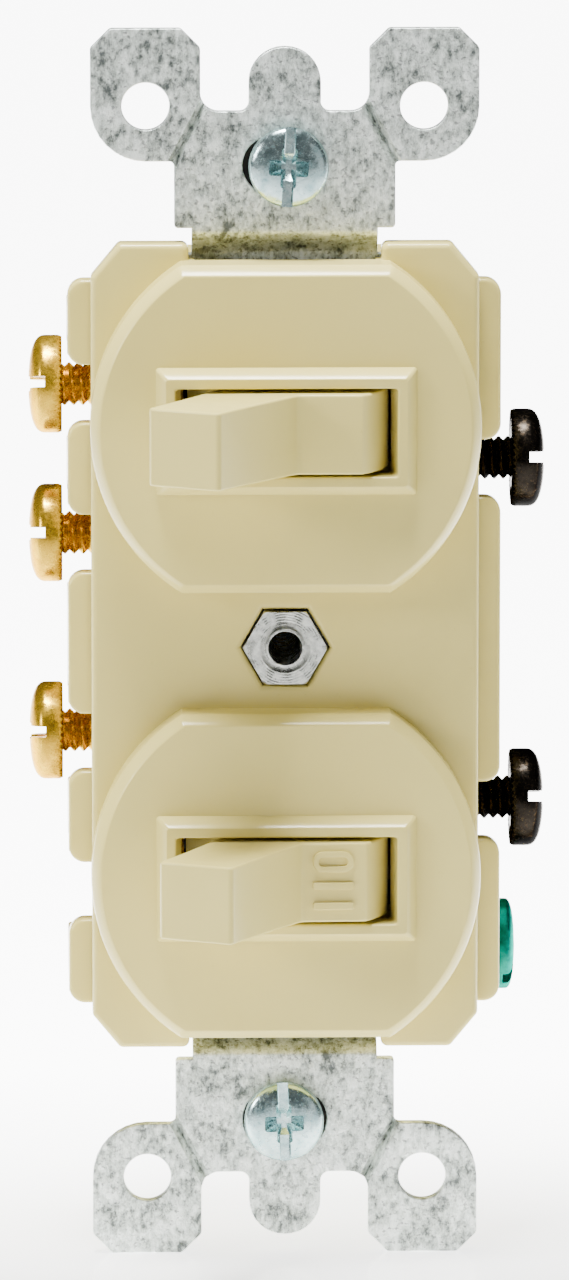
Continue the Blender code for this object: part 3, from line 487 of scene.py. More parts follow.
def plated_finish(name, dark, light, accent, roughness, size=1.6 * MM, metallic=1.0, wear_and_glints=0.55,
                  rim=(1, 1, 1)):
    """A bright plated metal whose colour drifts between tones, with fine scratches.

    wear_and_glints: how much of the accent shows, which on the black oxide is painted glints. rim:
    the colour of its reflections at a glancing angle.
    """
    f = Finish(name)
    cloud = f.noise(size, 4.0, 0.6)
    fine = f.noise(0.35 * MM, 3.0, 0.6)
    tint = f.ramp(cloud, (0.3, dark), (0.62, light))
    # accent flecks in the colour: wear, and on the black oxide painted glints
    tint = f.mix(f.spread(fine, 0.55, 0.75, 0.0, wear_and_glints), tint, accent)
    rough = f.spread(fine, 0.3, 0.7, roughness - 0.07, roughness + 0.13)
    normal = f.bump(fine, 0.006 * MM, f.bump(cloud, 0.03 * MM))
    return f.done(Base_Color=tint, Roughness=rough, Metallic=metallic, Normal=normal,
                  Specular_Tint=(*rim, 1))


def faced_finish():
    """Bright metal with the rings that facing on a lathe leaves about the local y axis."""
    f = Finish("faced_zinc")
    parts = f.node("ShaderNodeSeparateXYZ", Vector=f.place).outputs
    square = [f.math("MULTIPLY", parts[axis], parts[axis]) for axis in ("X", "Z")]
    radius = f.math("SQRT", f.math("ADD", *square))
    wobble = f.math("MULTIPLY", f.noise(1.2 * MM, 2.0), 0.12 * MM)
    feed = 0.22 * MM
    turns = f.math("MULTIPLY", f.math("ADD", radius, wobble), 2 * math.pi / feed)
    rings = f.math("SINE", turns)
    cloud = f.noise(0.9 * MM, 4.0, 0.6)
    tint = f.ramp(cloud, (0.3, (0.24, 0.25, 0.22)), (0.6, (0.82, 0.83, 0.77)))
    rough = f.spread(cloud, 0.3, 0.7, 0.2, 0.38)
    normal = f.bump(rings, 0.004 * MM, f.bump(cloud, 0.03 * MM))
    return f.done(Base_Color=tint, Roughness=rough, Metallic=1.0, Normal=normal)


def moulded_finish(name, dark, light, roughness):
    f = Finish(name)
    cloud = f.noise(2.5 * MM, 5.0, 0.6)
    fine = f.noise(0.3 * MM, 3.0)
    tint = f.ramp(cloud, (0.3, dark), (0.7, light))
    rough = f.spread(fine, 0.3, 0.7, roughness - 0.08, roughness + 0.08)
    return f.done(Base_Color=tint, Roughness=rough, Normal=f.bump(fine, 0.01 * MM))


def floor_finish():
    """A white table with a painted glow: emission strongest behind the object, fading towards the
    front and towards both sides.
    """
    f = Finish("floor_white_painted_glow")
    soft = f.noise(0.4, 2.0)
    tint = f.ramp(soft, (0.3, (0.93, 0.93, 0.93)), (0.7, (0.95, 0.95, 0.95)))
    parts = f.node("ShaderNodeSeparateXYZ", Vector=f.place).outputs
    sides = f.spread(f.math("ABSOLUTE", parts["X"]), 0.12, 0.45, 1.0, 0.25)
    # painted light: the glow, up to strength 9 behind the object and none in front
    glow = f.math("MULTIPLY", f.spread(parts["Y"], -0.04, 0.08, 0.0, 9.0), sides)
    return f.done(Base_Color=tint, Roughness=0.16, IOR=1.4, Emission_Color=(1, 1, 1, 1),
                  Emission_Strength=glow)


IVORY = ivory_finish()
GALVANISED = galvanised_finish()
BRASS = plated_finish("brass", (0.44, 0.25, 0.016), (0.64, 0.40, 0.028), (0.28, 0.13, 0.006), 0.24,
                      metallic=0.85, wear_and_glints=0.3, rim=(0.85, 0.62, 0.25))
# Black oxide: its warm accent flecks are painted glints, standing in for reflections.
BLACK = plated_finish("black_oxide", (0.007, 0.006, 0.005), (0.022, 0.018, 0.014),
                      (0.07, 0.048, 0.028), 0.22, metallic=0.95, rim=(0.12, 0.1, 0.08))
GREEN = plated_finish("green_zinc", (0.0, 0.115, 0.09), (0.0002, 0.27, 0.205),
                      (0.0005, 0.36, 0.285), 0.5, size=0.7 * MM, rim=(0.2, 0.85, 0.75))
ZINC = plated_finish("bright_zinc", (0.30, 0.48, 0.50), (0.64, 0.82, 0.82), (0.13, 0.30, 0.35), 0.2)
SPRING = plated_finish("spring_steel", (0.35, 0.35, 0.37), (0.58, 0.58, 0.60),
                       (0.22, 0.21, 0.2), 0.22)
SILVER = plated_finish("silver", (0.68, 0.68, 0.66), (0.86, 0.86, 0.84), (0.5, 0.48, 0.44), 0.26)
FACED = faced_finish()
PHENOLIC = moulded_finish("phenolic", (0.022, 0.014, 0.010), (0.05, 0.032, 0.022), 0.42)
FIBRE = moulded_finish("black_fibre", (0.018, 0.016, 0.015), (0.04, 0.036, 0.032), 0.8)


# Yoke

def yoke_outline():
    """The strap's outline with its corners rounded, anticlockwise."""
    right = [
        (STRAP_HALF, STRAP_END_Z, 0.5 * MM), (NECK_HALF, STRAP_END_Z, 0.05 * MM),
        (NECK_HALF, PLATE_IN_Z, 0.05 * MM), (PLATE_HALF, PLATE_IN_Z, 0.35 * MM),
        (PLATE_HALF, EAR_HOLE[1] - EAR_CORNER_R, 0.5 * MM),
        (EAR_OUTER_X, EAR_HOLE[1] - EAR_CORNER_R, EAR_CORNER_R - 0.01 * MM),
        (EAR_OUTER_X, EAR_TIP_Z - EAR_CHAMFER, 0.5 * MM),
        (EAR_OUTER_X - EAR_CHAMFER, EAR_TIP_Z, 0.5 * MM),
        (EAR_INNER_X + EAR_CHAMFER, EAR_TIP_Z, 0.5 * MM),
        (EAR_INNER_X, EAR_TIP_Z - EAR_CHAMFER, 0.5 * MM),
        (EAR_INNER_X, PLATE_OUT_Z, 1.6 * MM), (TAB_HALF, PLATE_OUT_Z, 0.8 * MM),
        (TAB_HALF, TAB_TIP_Z, TAB_HALF - 0.06 * MM),
    ]
    top = right + [(-x, z, r) for x, z, r in reversed(right)]
    return rounded(top + [(-x, -z, r) for x, z, r in top], steps=8)


def stadium(centre, length, height, steps=16):
    reach = (length - height) / 2
    x, z = centre
    right = arc((x + reach, z), height / 2, -90, 90, steps)
    return right + arc((x - reach, z), height / 2, 90, 270, steps)


def joggle(mesh):
    """Bends the strap's middle back, in a smooth S at each neck."""
    shape = bmesh.new()
    shape.from_mesh(mesh)
    lines = 8
    for side in (1, -1):
        for i in range(lines + 1):
            z = side * (BEND_IN_Z + (BEND_OUT_Z - BEND_IN_Z) * i / lines)
            everything = shape.verts[:] + shape.edges[:] + shape.faces[:]
            bmesh.ops.bisect_plane(shape, geom=everything, dist=1e-8, plane_co=(0, 0, z),
                                   plane_no=(0, 0, 1))
    for vert in shape.verts:
        t = (BEND_OUT_Z - abs(vert.co.z)) / (BEND_OUT_Z - BEND_IN_Z)
        t = min(max(t, 0.0), 1.0)
        vert.co.y += JOGGLE * t * t * (3 - 2 * t)
    shape.to_mesh(mesh)
    shape.free()


def make_yoke():
    """The flat strap with its holes, bent at the necks, with the ground tab and the scored ears."""
    holes = [circle((0, 0), POST_HOLE_R, 32)]
    for side in (1, -1):
        holes.append(stadium((0, side * MOUNT_Z), SLOT_LENGTH, SLOT_HEIGHT))
        centre = side * TOGGLE_Z
        holes.append(rounded_box(-WINDOW_HALF_X, centre - WINDOW_HALF_Z,
                                 WINDOW_HALF_X, centre + WINDOW_HALF_Z, 0.4 * MM))
        for sx in (1, -1):
            holes.append(circle((sx * RIVET_X, side * RIVET_Z), RIVET_HOLE_R, 24))
            holes.append(circle((sx * EAR_HOLE[0], side * EAR_HOLE[1]), EAR_HOLE_R, 56))
    yoke = upright("yoke_strap", yoke_outline(), holes, -STEEL, 0, (STEEL_EDGE, STEEL_EDGE))
    joggle(yoke.data)
    boolean(yoke, make_ground_tab(), "UNION")
    bore = [(2.0 * MM, 10 * MM), (2.0 * MM, 20 * MM)]
    boolean(yoke, turned("tab_bore", bore, screw_axis(1, GROUND_SCREW_Z), steps=40))
    for sx, sz in CORNERS:
        score_ear(yoke, sx, sz)
    piece(yoke, "housing", "galvanised_steel", GALVANISED, "yoke")


def make_ground_tab():
    """The tab for the ground screw: out from the strap, then bent back."""
    low, high = GROUND_TAB_Z
    front = JOGGLE - STEEL
    root = STRAP_HALF - 0.8 * MM
    inner = GROUND_TAB_X - STEEL
    bend = [(root, -front, 0), (GROUND_TAB_X, -front, 1.3 * MM),
            (GROUND_TAB_X, -GROUND_TAB_BACK, 0.3 * MM), (inner, -GROUND_TAB_BACK, 0.3 * MM),
            (inner, -front - STEEL, 0.3 * MM), (root, -front - STEEL, 0)]
    outline = [(x, -y) for x, y in rounded(bend)]
    return plate("ground_tab", outline, [], low, high, (STEEL_EDGE, STEEL_EDGE))


def score_ear(yoke, sx, sz):
    """A V groove on both faces where an ear breaks off."""
    start = Vector((EAR_INNER_X, 0, PLATE_OUT_Z))
    end = Vector((PLATE_HALF, 0, EAR_HOLE[1] - EAR_CORNER_R))
    along = end - start
    middle = (start + end) / 2
    spot = Vector((sx * middle.x, 0, sz * middle.z))
    turn = Matrix.Rotation(math.atan2(along.x, along.z) * sx * sz, 4, "Y")
    reach = 0.8 * along.length
    for y, deep in ((-STEEL, SCORE_FRONT_DEPTH), (0, SCORE_BACK_DEPTH)):
        diamond = [(SCORE_HALF, 0), (0, deep), (-SCORE_HALF, 0), (0, -deep)]
        groove = skin("groove", [[(x, z, w) for x, z in diamond] for w in (-reach, reach)],
                      Matrix.Translation(spot + Vector((0, y, 0))) @ turn)
        boolean(yoke, groove)


# Cover

def disc_outline(radius, half_height, centre_z, steps=56):
    """A circle cut off flat above and below."""
    edge = math.degrees(math.asin(half_height / radius))
    right = arc((0, centre_z), radius, -edge, edge, steps)
    return right + arc((0, centre_z), radius, 180 - edge, 180 + edge, steps)


def stepped(name, sections):
    """A solid whose outline changes from front to back: sections of (outline, y)."""
    return skin(name, [[(x, y, z) for x, z in outline] for outline, y in sections])


def make_disc(centre):
    """Sections of a raised disc: its bevelled front edge is rounded where it meets either face."""
    foot = DISC_FRONT + 4.5 * MM
    rise = [(1.0, 0.0), (0.9, 0.02), (0.8, 0.1), (0.5, 0.4), (0.15, 0.95), (0.05, 1.15), (0.0, 1.4)]
    outline = disc_outline(DISC_R, DISC_HALF_Z, centre)
    sections = [(inset(outline, DISC_BEVEL * a), DISC_FRONT + DISC_BEVEL * b) for a, b in rise]
    return stepped("disc", sections + [(outline, foot)])


def make_rim(centre):
    """A rectangular frame's sections, its sides sloping out to the disc."""
    half_x, half_z = FRAME_HALF
    depth = DISC_FRONT - FRAME_FRONT
    slope = ((1.0, 0.0), (0.95, 0.01), (0.88, 0.05), (0.5, 0.31), (0.1, 0.8), (0.0, 1.0),
             (0.0, 1.5))
    sections = []
    for a, b in slope:
        x, z = half_x - FRAME_BEVEL * a, half_z - FRAME_BEVEL * a
        outline = rounded_box(-x, centre - z, x, centre + z, 0.3 * MM)
        sections.append((outline, FRAME_FRONT + depth * b))
    return stepped("rim", sections)


def make_opening(centre):
    """The opening's shape as a cutter: a rounded lip, then sides that draft inwards."""
    half_x, half_z = OPENING_HALF
    lip = OPENING_LIP
    sections = []
    for t in (-0.3, 0.0, 0.12, 0.35, 0.65, 1.0):
        flare = lip * (1 - math.sqrt(max(0.0, 1 - (1 - max(t, 0.0)) ** 2)))
        flare += 0.2 * lip if t < 0 else 0
        outline = rounded_box(-half_x - flare, centre - half_z - flare,
                              half_x + flare, centre + half_z + flare, 0.3 * MM)
        sections.append((outline, FRAME_FRONT + lip * t))
    x = half_x - OPENING_DRAFT
    outline = rounded_box(-x, centre - half_z, x, centre + half_z, 0.25 * MM)
    return stepped("opening", sections + [(outline, DISC_FRONT + COVER_WALL + 0.1 * MM)])


def make_cover():
    """The front moulding with two discs and frames, hollow behind, with a boss for each rivet."""
    x, z = COVER_HALF_X, COVER_HALF_Z
    notch = z - COVER_NOTCH
    cut_x, cut_z = COVER_CHAMFER
    back = COVER_BACK + 1 * MM
    corner = COVER_CORNER_R
    top = [(x, z - cut_z, corner), (x - cut_x, z, corner), (COVER_NOTCH_HALF, z, corner),
           (COVER_NOTCH_HALF, notch, 0.2 * MM)]
    top += [(-a, b, r) for a, b, r in reversed(top)]
    outline = rounded(top + [(-a, -b, r) for a, b, r in top])
    hexagon = arc((0, 0), HEX_R, 0, 300, 5)
    cover = upright("cover_moulding", outline, [hexagon], COVER_FRONT, COVER_BACK,
                    (COVER_EDGE, 0.1 * MM))
    wall = COVER_WALL
    for centre in (TOGGLE_Z, -TOGGLE_Z):
        boolean(cover, make_disc(centre), "UNION")
        boolean(cover, make_rim(centre), "UNION")
    recess = rounded_box(-x + wall, -notch + wall / 2, x - wall, notch - wall / 2, 0.6 * MM)
    boolean(cover, upright("recess", recess, [], COVER_FRONT + 2 * MM, back, (0, 0)))
    for side in (1, -1):
        low, high = sorted((side * (notch - wall), side * FAR))
        relief = rectangle(-RELIEF_HALF, low, RELIEF_HALF, high)
        boolean(cover, upright("relief", relief, [], RELIEF_FRONT, back, (0, 0)))
    for centre in (TOGGLE_Z, -TOGGLE_Z):
        hollow = disc_outline(DISC_R - wall, DISC_HALF_Z - wall, centre)
        boolean(cover, upright("hollow", hollow, [], DISC_FRONT + wall, back, (0, 0)))
        boolean(cover, make_opening(centre))
    boss = [(BOSS_R, -COVER_BACK), (BOSS_R, -DISC_FRONT - wall / 2)]
    bore = [(RIVET_BORE_R, -2 * MM), (RIVET_BORE_R, 1.5 * MM)]
    for sx, sz in CORNERS:
        at = rivet_axis(sx, sz, ACROSS)
        boolean(cover, turned("boss", boss, at, steps=40), "UNION")
        boolean(cover, turned("bore", bore, at, steps=32))
    piece(cover, "housing", "ivory_plastic", IVORY, "cover")


# Base

def make_base():
    """The body behind the yoke: core, wings and ribs, then what is cut out of them."""
    inner_x, inner_z = CORE_HALF_X - CORE_WALL, CORE_HALF_Z - CORE_WALL
    floor = CORE_BACK - CORE_WALL
    outline = rounded_box(-CORE_HALF_X, -CORE_HALF_Z, CORE_HALF_X, CORE_HALF_Z, 0.7 * MM)
    base = upright("base_moulding", outline, [], CORE_FRONT, CORE_BACK, (0.1 * MM, 0.5 * MM))
    add_wings(base)
    lip = rectangle(-WING_LIP_X, -FAR, WING_LIP_X, FAR)
    boolean(base, upright("strap_space", lip, [], -1 * MM, CORE_FRONT, (0, 0)))
    hollow = rounded_box(-inner_x, -inner_z, inner_x, inner_z, 0.5 * MM)
    boolean(base, upright("cavity", hollow, [], CORE_FRONT - 1 * MM, floor, (0, 0)))
    inner_frames(base, inner_x, inner_z, floor)
    cut_terminal_seats(base, inner_x)
    cut_ground_seat(base, inner_x)
    wide = RIVET_HEAD_R + CLEARANCE
    flared = wide + 0.15 * MM
    seat = CORE_BACK - COUNTERBORE
    bore = [(RIVET_BORE_R, 0), (RIVET_BORE_R, seat), (wide, seat), (wide, CORE_BACK - 0.2 * MM),
            (flared, CORE_BACK + 0.01 * MM), (flared, 26 * MM)]
    for sx, sz in CORNERS:
        boolean(base, turned("counterbore", bore, rivet_axis(sx, sz, BACKWARDS), steps=56))
    back_details(base)
    piece(base, "housing", "ivory_plastic", IVORY, "base")


def add_wings(base):
    """The thin wings that show beside the cover, parted by the gaps, and a rib behind each."""
    for side, gaps in ((-1, LEFT_GAPS), (1, RIGHT_GAPS)):
        tops = [WING_END_Z] + [g - GAP_HALF for g in gaps]
        bottoms = [g + GAP_HALF for g in gaps] + [-WING_END_Z]
        for high, low in zip(tops, bottoms):
            wing = [(WING_ROOT_X, low, 0), (WING_X, low, WING_R), (WING_X, high, WING_R),
                    (WING_ROOT_X, high, 0)]
            wing = rounded([(side * a, b, r) for a, b, r in wing], steps=10)
            boolean(base, upright("wing", wing, [], WING_FRONT, WING_BACK, (0.3 * MM, 0.2 * MM)),
                    "UNION")
            near, far = sorted((side * WING_ROOT_X, side * WING_X))
            rib = rounded_box(near, low + RIB_RISE, far, high - RIB_DROP, 0.3 * MM)
            boolean(base, upright("rib", rib, [], WING_BACK - 0.5 * MM, RIB_BACK, (0, 0.2 * MM)),
                    "UNION")


def cut_terminal_seats(base, inner_x):
    """In each gap: a round scoop for the screw's head, its hole, and a slot for the terminal."""
    wide = TERMINAL_HALF_Z + CLEARANCE
    scoop = [(SCOOP_R, CORE_HALF_X - 0.05 * MM), (SCOOP_R, 20 * MM)]
    hole = [(SCREW_HOLE_R, inner_x - SCREW_HOLE_DEPTH), (SCREW_HOLE_R, CORE_HALF_X + 1 * MM)]
    for side, gaps in ((-1, LEFT_GAPS), (1, RIGHT_GAPS)):
        for gap in gaps:
            seat = screw_axis(side, gap)
            boolean(base, turned("scoop", scoop, seat, steps=72))
            boolean(base, turned("hole", hole, seat, steps=48))
            span = sorted((side * (CORE_HALF_X - 0.03 * MM), side * (PLATE_OUT_X + CLEARANCE)))
            slot = rectangle(span[0], gap - wide, span[1], gap + wide)
            boolean(base, upright("slot", slot, [], -1 * MM, SLOT_BACK, (0, 0)))


def cut_ground_seat(base, inner_x):
    """Room for the yoke's ground tab and its screw."""
    low, high = GROUND_TAB_Z
    slot = rectangle(GROUND_TAB_X - STEEL - CLEARANCE, low - CLEARANCE,
                     GROUND_TAB_X + CLEARANCE, high + CLEARANCE)
    boolean(base, upright("tab_slot", slot, [], -1 * MM, GROUND_TAB_BACK + CLEARANCE, (0, 0)))
    seat = screw_axis(1, GROUND_SCREW_Z)
    scoop = [(GROUND_SCOOP_R, GROUND_TAB_X), (GROUND_SCOOP_R, 20 * MM)]
    boolean(base, turned("ground_scoop", scoop, seat, steps=72))
    hole = [(GROUND_HOLE_R, inner_x - 1 * MM), (GROUND_HOLE_R, 16 * MM)]
    boolean(base, turned("ground_hole", hole, seat, steps=48))


def inner_frames(base, inner_x, inner_z, floor):
    """Inside the base: cradles for the toggles, the barrier, ribs and the rivets' columns."""
    x, z = inner_x + 0.9 * MM, inner_z + 0.9 * MM      # into the walls, so that they join
    front, back = CORE_FRONT + 0.3 * MM, floor + 0.3 * MM
    blocks = [((-x, -3 * MM, x, 3 * MM), front, back)]
    for sx in (1, -1):
        near, far = sorted((sx * 6.0 * MM, sx * 7.4 * MM))
        blocks.append(((near, -z, far, z), 16.3 * MM, back))
    for sz in (1, -1):
        for toward in (1, -1):
            low, high = sorted(sz * TOGGLE_Z + toward * edge for edge in CROSS_RIB)
            blocks.append(((-x, low, x, high), front, 14.4 * MM))
            cradle = (-3.2 * MM, low + 0.1 * MM, 3.2 * MM, high - 0.1 * MM)
            blocks.append((cradle, PIVOT_Y, front + 0.5 * MM))
    for outline, near, far in blocks:
        boolean(base, upright("frame", rectangle(*outline), [], near, far, (0, 0)), "UNION")
    column = [(2.2 * MM, front), (2.2 * MM, back)]
    for sz in (1, -1):
        centre = sz * TOGGLE_Z
        notch = [(1.85 * MM, centre - 6.2 * MM), (1.85 * MM, centre + 6.2 * MM)]
        boolean(base, turned("notch", notch, Matrix.Translation((0, PIVOT_Y, 0)), steps=40))
        for sx in (1, -1):
            at = rivet_axis(sx, sz, BACKWARDS)
            boolean(base, turned("column", column, at, steps=40), "UNION")
    bore = [(POST_HOLE_R, 0), (POST_HOLE_R, 14.6 * MM)]
    boolean(base, turned("post_bore", bore, BACKWARDS, steps=40))


def back_details(base):
    """Shallow marks of the mould on the back: a sunk panel and the rings of ejector pins."""
    panel = rounded_box(-5.6 * MM, -22 * MM, 5.6 * MM, 22 * MM, 1.0 * MM)
    behind = CORE_BACK + 1 * MM
    boolean(base, upright("panel", panel, [], CORE_BACK - 0.3 * MM, behind, (0.12 * MM, 0)))
    for sx in (1, -1):
        for z in (-17 * MM, 0, 17 * MM):
            pin = (sx * 10.3 * MM, z)
            ring = upright("ejector", circle(pin, 1.6 * MM, 40), [circle(pin, 1.4 * MM, 40)],
                           CORE_BACK - 0.12 * MM, behind, (0, 0))
            boolean(base, ring)


# Toggles

def toggle_profile():
    """The toggle seen along its hinge: lever towards -y, shoulders, then the round drum."""
    tilt = math.radians(SHOULDER_TILT)
    root_v = LEVER_ROOT_HALF
    root_u = (SHOULDER - root_v * math.sin(tilt)) / math.cos(tilt)
    shoulder_end = SHOULDER_TILT + math.degrees(math.acos(SHOULDER / DRUM_R))
    hollow = 0.14 * MM
    half = [(0, LEVER_TIP, 0), (LEVER_TIP_HALF, LEVER_TIP, 0.45 * MM)]
    for t in (0.2, 0.4, 0.6, 0.8):
        v = LEVER_TIP_HALF + (root_v - LEVER_TIP_HALF) * t - hollow * math.sin(math.pi * t)
        half.append((v, LEVER_TIP + (root_u - LEVER_TIP) * t, 0))
    half.append((root_v, root_u, 0.7 * MM))
    steps = 17
    for i in range(steps + 1):
        a = math.radians(shoulder_end + (SKIRT_END - shoulder_end) * i / steps)
        half.append((DRUM_R * math.sin(a), DRUM_R * math.cos(a), 0.3 * MM if i == 0 else 0))
    half += [(3.0 * MM, -6.5 * MM, 0), (2.5 * MM, -7.5 * MM, 0)]
    outline = [(v, -u, r) for v, u, r in half]
    outline += [(-x, y, r) for x, y, r in reversed(outline[1:])]
    return rounded(outline), root_u


def make_toggle(word, centre_z):
    """A lever that narrows a little towards its tip, on a drum with a trunnion at each end."""
    outline, root_u = toggle_profile()
    body = plate(f"{word}_lever", outline, [], -DRUM_HALF_Z, DRUM_HALF_Z, (0.24 * MM, 0.24 * MM),
                 steps=4)
    for vert in body.data.vertices:
        out = min(max((-vert.co.y - root_u) / (LEVER_TIP - root_u), 0.0), 1.0)
        vert.co.z *= 1 - 0.03 * out
    trunnion = [(1.4 * MM, -TRUNNION_HALF), (TRUNNION_R, -5.25 * MM), (TRUNNION_R, 5.25 * MM),
                (1.4 * MM, TRUNNION_HALF)]
    boolean(body, turned("trunnion", trunnion, steps=48), "UNION")
    bore = [(2.1 * MM, -4.0 * MM), (2.1 * MM, 8.5 * MM)]
    boolean(body, turned("bore", bore, BACKWARDS, steps=48))
    if word == "lower":
        mark_shoulders(body)
    lean = Matrix.Rotation(math.radians(-LEAN[word]), 4, "Z")
    body.data.transform(Matrix.Translation((0, PIVOT_Y, centre_z)) @ lean)
    piece(body, f"{word}_toggle", "ivory_plastic", IVORY, f"{word}_toggle")


def mark_shoulders(body):
    """Raised plain marks: a ring and two bars on the right shoulder, one bar on the left."""
    proud = 0.28 * MM
    edges = (0.06 * MM, 0)
    across = 1.75 * MM
    outer = rounded_box(-across, 0.95 * MM, across, 2.75 * MM, 0.85 * MM)
    inner = rounded_box(-across + 0.5 * MM, 1.45 * MM, across - 0.5 * MM, 2.25 * MM, 0.36 * MM)
    marks = [(1, outer, [inner])]
    for low, high in ((-0.55 * MM, 0.05 * MM), (-2.3 * MM, -1.7 * MM)):
        marks.append((1, rounded_box(-across, low, across, high, 0.2 * MM), []))
    marks.append((-1, rounded_box(-0.3 * MM, -2.0 * MM, 0.3 * MM, 2.0 * MM, 0.25 * MM), []))
    for side, outline, holes in marks:
        turn = Matrix.Rotation(math.radians(side * SHOULDER_TILT), 4, "Z")
        mark = upright("mark", outline, holes, -proud, 0.4 * MM, edges)
        mark.data.transform(turn @ Matrix.Translation((side * 3.7 * MM, -SHOULDER, 0)))
        boolean(body, mark, "UNION")


# Screws and small parts

def thread_rows(radius, length, steps, blank):
    """Loops of a right-hand thread's surface, from its tapered tip up to height 0."""
    depth = THREAD_DEPTH
    core = radius - depth
    nose = 0.35 * MM
    taper = 0.9 * MM
    per_turn = 8
    count = int((length / PITCH + 1) * per_turn) + 1
    loops = []
    for row in range(count):
        tooth = 1 - abs(2 * (row % per_turn) / per_turn - 1)
        crest = min(1.0, tooth * 1.15)
        loop = []
        for i in range(steps):
            turn = i / steps
            z = -length - PITCH + (row / per_turn + turn) * PITCH
            r = radius - depth * (1 - crest)
            r = min(r, core - nose + (z + length) * (depth + nose) / taper)
            if z > -blank:
                r = radius - depth * 0.6
            z = min(max(z, -length), 0.0)
            r = max(r, core - nose)
            a = 2 * math.pi * turn
            loop.append((r * math.cos(a), r * math.sin(a), z))
        loops.append(loop)
    return loops


def ring_at(radius, height, steps, teeth=0, bite=0.0):
    """A ring of points, raised into teeth where it is asked for."""
    loop = []
    for i in range(steps):
        a = 2 * math.pi * i / steps
        h = height + bite * (0.5 - 0.5 * math.cos(teeth * a))
        loop.append((radius * math.cos(a), radius * math.sin(a), h))
    return loop


def head_rows(radius, thick, dome, steps):
    """Loops of a binding head, from the shank out under the head and up over its dome."""
    rows = [ring_at(radius * 0.52, 0, steps), ring_at(radius * 0.6, 0, steps),
            ring_at(radius * 0.9, 0, steps, HEAD_TEETH, TOOTH_BITE),
            ring_at(radius - 0.12 * MM, 0, steps, HEAD_TEETH, TOOTH_BITE),
            ring_at(radius, 0.3 * MM, steps, HEAD_TEETH, TOOTH_BITE * 0.5)]
    edge = 0.25 * MM
    side = thick - dome
    rows.append(ring_at(radius, side - edge, steps))
    count = 12
    for i in range(1, count + 1):
        t = math.radians(90) * i / count
        r = radius * (1 - (1 - math.cos(t)) ** 1.35)
        rows.append(ring_at(max(r, 0.02 * MM), side - edge + (dome + edge) * math.sin(t), steps))
    return rows


def drive(name, radius, thick, slot, deep, cross):
    """Cutters of a combination drive: a slot right across, and a tapering cross."""
    half = slot / 2
    top = thick + 0.5 * MM
    tools = [plate(name, rounded_box(-radius - 1 * MM, -half, radius + 1 * MM, half, 0.1 * MM),
                   [], thick - deep, top, (0.08 * MM, 0))]
    width = slot * 0.72
    loops = []
    for height, reach, wide in ((thick - deep * 1.45, cross * 0.35, width * 0.35),
                                (thick - deep * 0.9, cross * 0.72, width * 0.8),
                                (top, cross * 1.1, width * 1.1)):
        arm = rounded_box(-reach, -wide, reach, wide, wide * 0.3)
        loops.append([(x, y, height) for x, y in arm])
    for turn in (0, 90):
        tools.append(skin(name, loops, Matrix.Rotation(math.radians(turn), 4, "Z")))
    return tools


def make_screw(node, slot_name, finish, head, shank, axis, along, place):
    """A screw with its thread, and a combination drive whose slot lies along a direction.

    head: radius, thickness, dome, slot width and depth. shank: radius, length, plain part.
    """
    steps = 96
    head_r, thick, dome, slot, deep = head
    radius, length, blank = shank
    loops = thread_rows(radius, length, steps, blank)
    loops += head_rows(head_r, thick, dome, steps)
    z = Vector(axis)
    y = z.cross(Vector(along)).normalized()
    turn = Matrix((y.cross(z), y, z)).transposed().to_4x4()
    made = skin(node + "_threaded", loops)
    for tool in drive("drive", head_r, thick, slot, deep, head_r * 0.52):
        boolean(made, tool)
    made.data.transform(Matrix.Translation(place) @ turn)
    piece(made, node, slot_name, finish, node, angle=38)


def make_screws():
    """Every screw, at the place of its CAD node, its slot turned as in the photograph."""
    head = (4.25 * MM, 2.9 * MM, 1.3 * MM, 0.95 * MM, 1.45 * MM)
    shank = (SHANK_R, 6.4 * MM, 0.0)
    slopes = {"upper_brass_screw_a": -0.14, "upper_brass_screw_b": -0.18,
              "lower_brass_screw": -0.12, "upper_black_screw": -0.15, "lower_black_screw": -0.19}
    for name, slope in slopes.items():
        low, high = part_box(name)
        middle = (low + high) / 2
        left = "brass" in name
        x = low.x + head[1] if left else high.x - head[1]
        finish, slot_name = (BRASS, "brass") if left else (BLACK, "black_oxide_steel")
        outwards = (-1 if left else 1, 0, 0)
        make_screw(name, slot_name, finish, head, shank, outwards, (0, 1, slope),
                   (x, middle.y, middle.z))
    low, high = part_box("green_ground_screw")
    head = (3.95 * MM, 2.4 * MM, 0.6 * MM, 1.2 * MM, 1.1 * MM)
    shank = (SHANK_R, 4.9 * MM, 0.0)
    make_screw("green_ground_screw", "green_steel", GREEN, head, shank, (1, 0, 0), (0, 1, 0.9),
               (high.x - head[1], (low.y + high.y) / 2, (low.z + high.z) / 2))
    head = (3.45 * MM, 2.0 * MM, 0.9 * MM, 0.95 * MM, 1.05 * MM)
    shank = (1.7 * MM, 19 * MM, 1.2 * MM)
    for name, shift, slope in (("upper_mounting_screw", 0.3 * MM, 0.05),
                               ("lower_mounting_screw", -0.1 * MM, -0.04)):
        low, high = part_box(name)
        make_screw(name, "zinc_steel", ZINC, head, shank, (0, -1, 0), (slope, 0, 1),
                   (shift, low.y + head[1], (low.z + high.z) / 2))


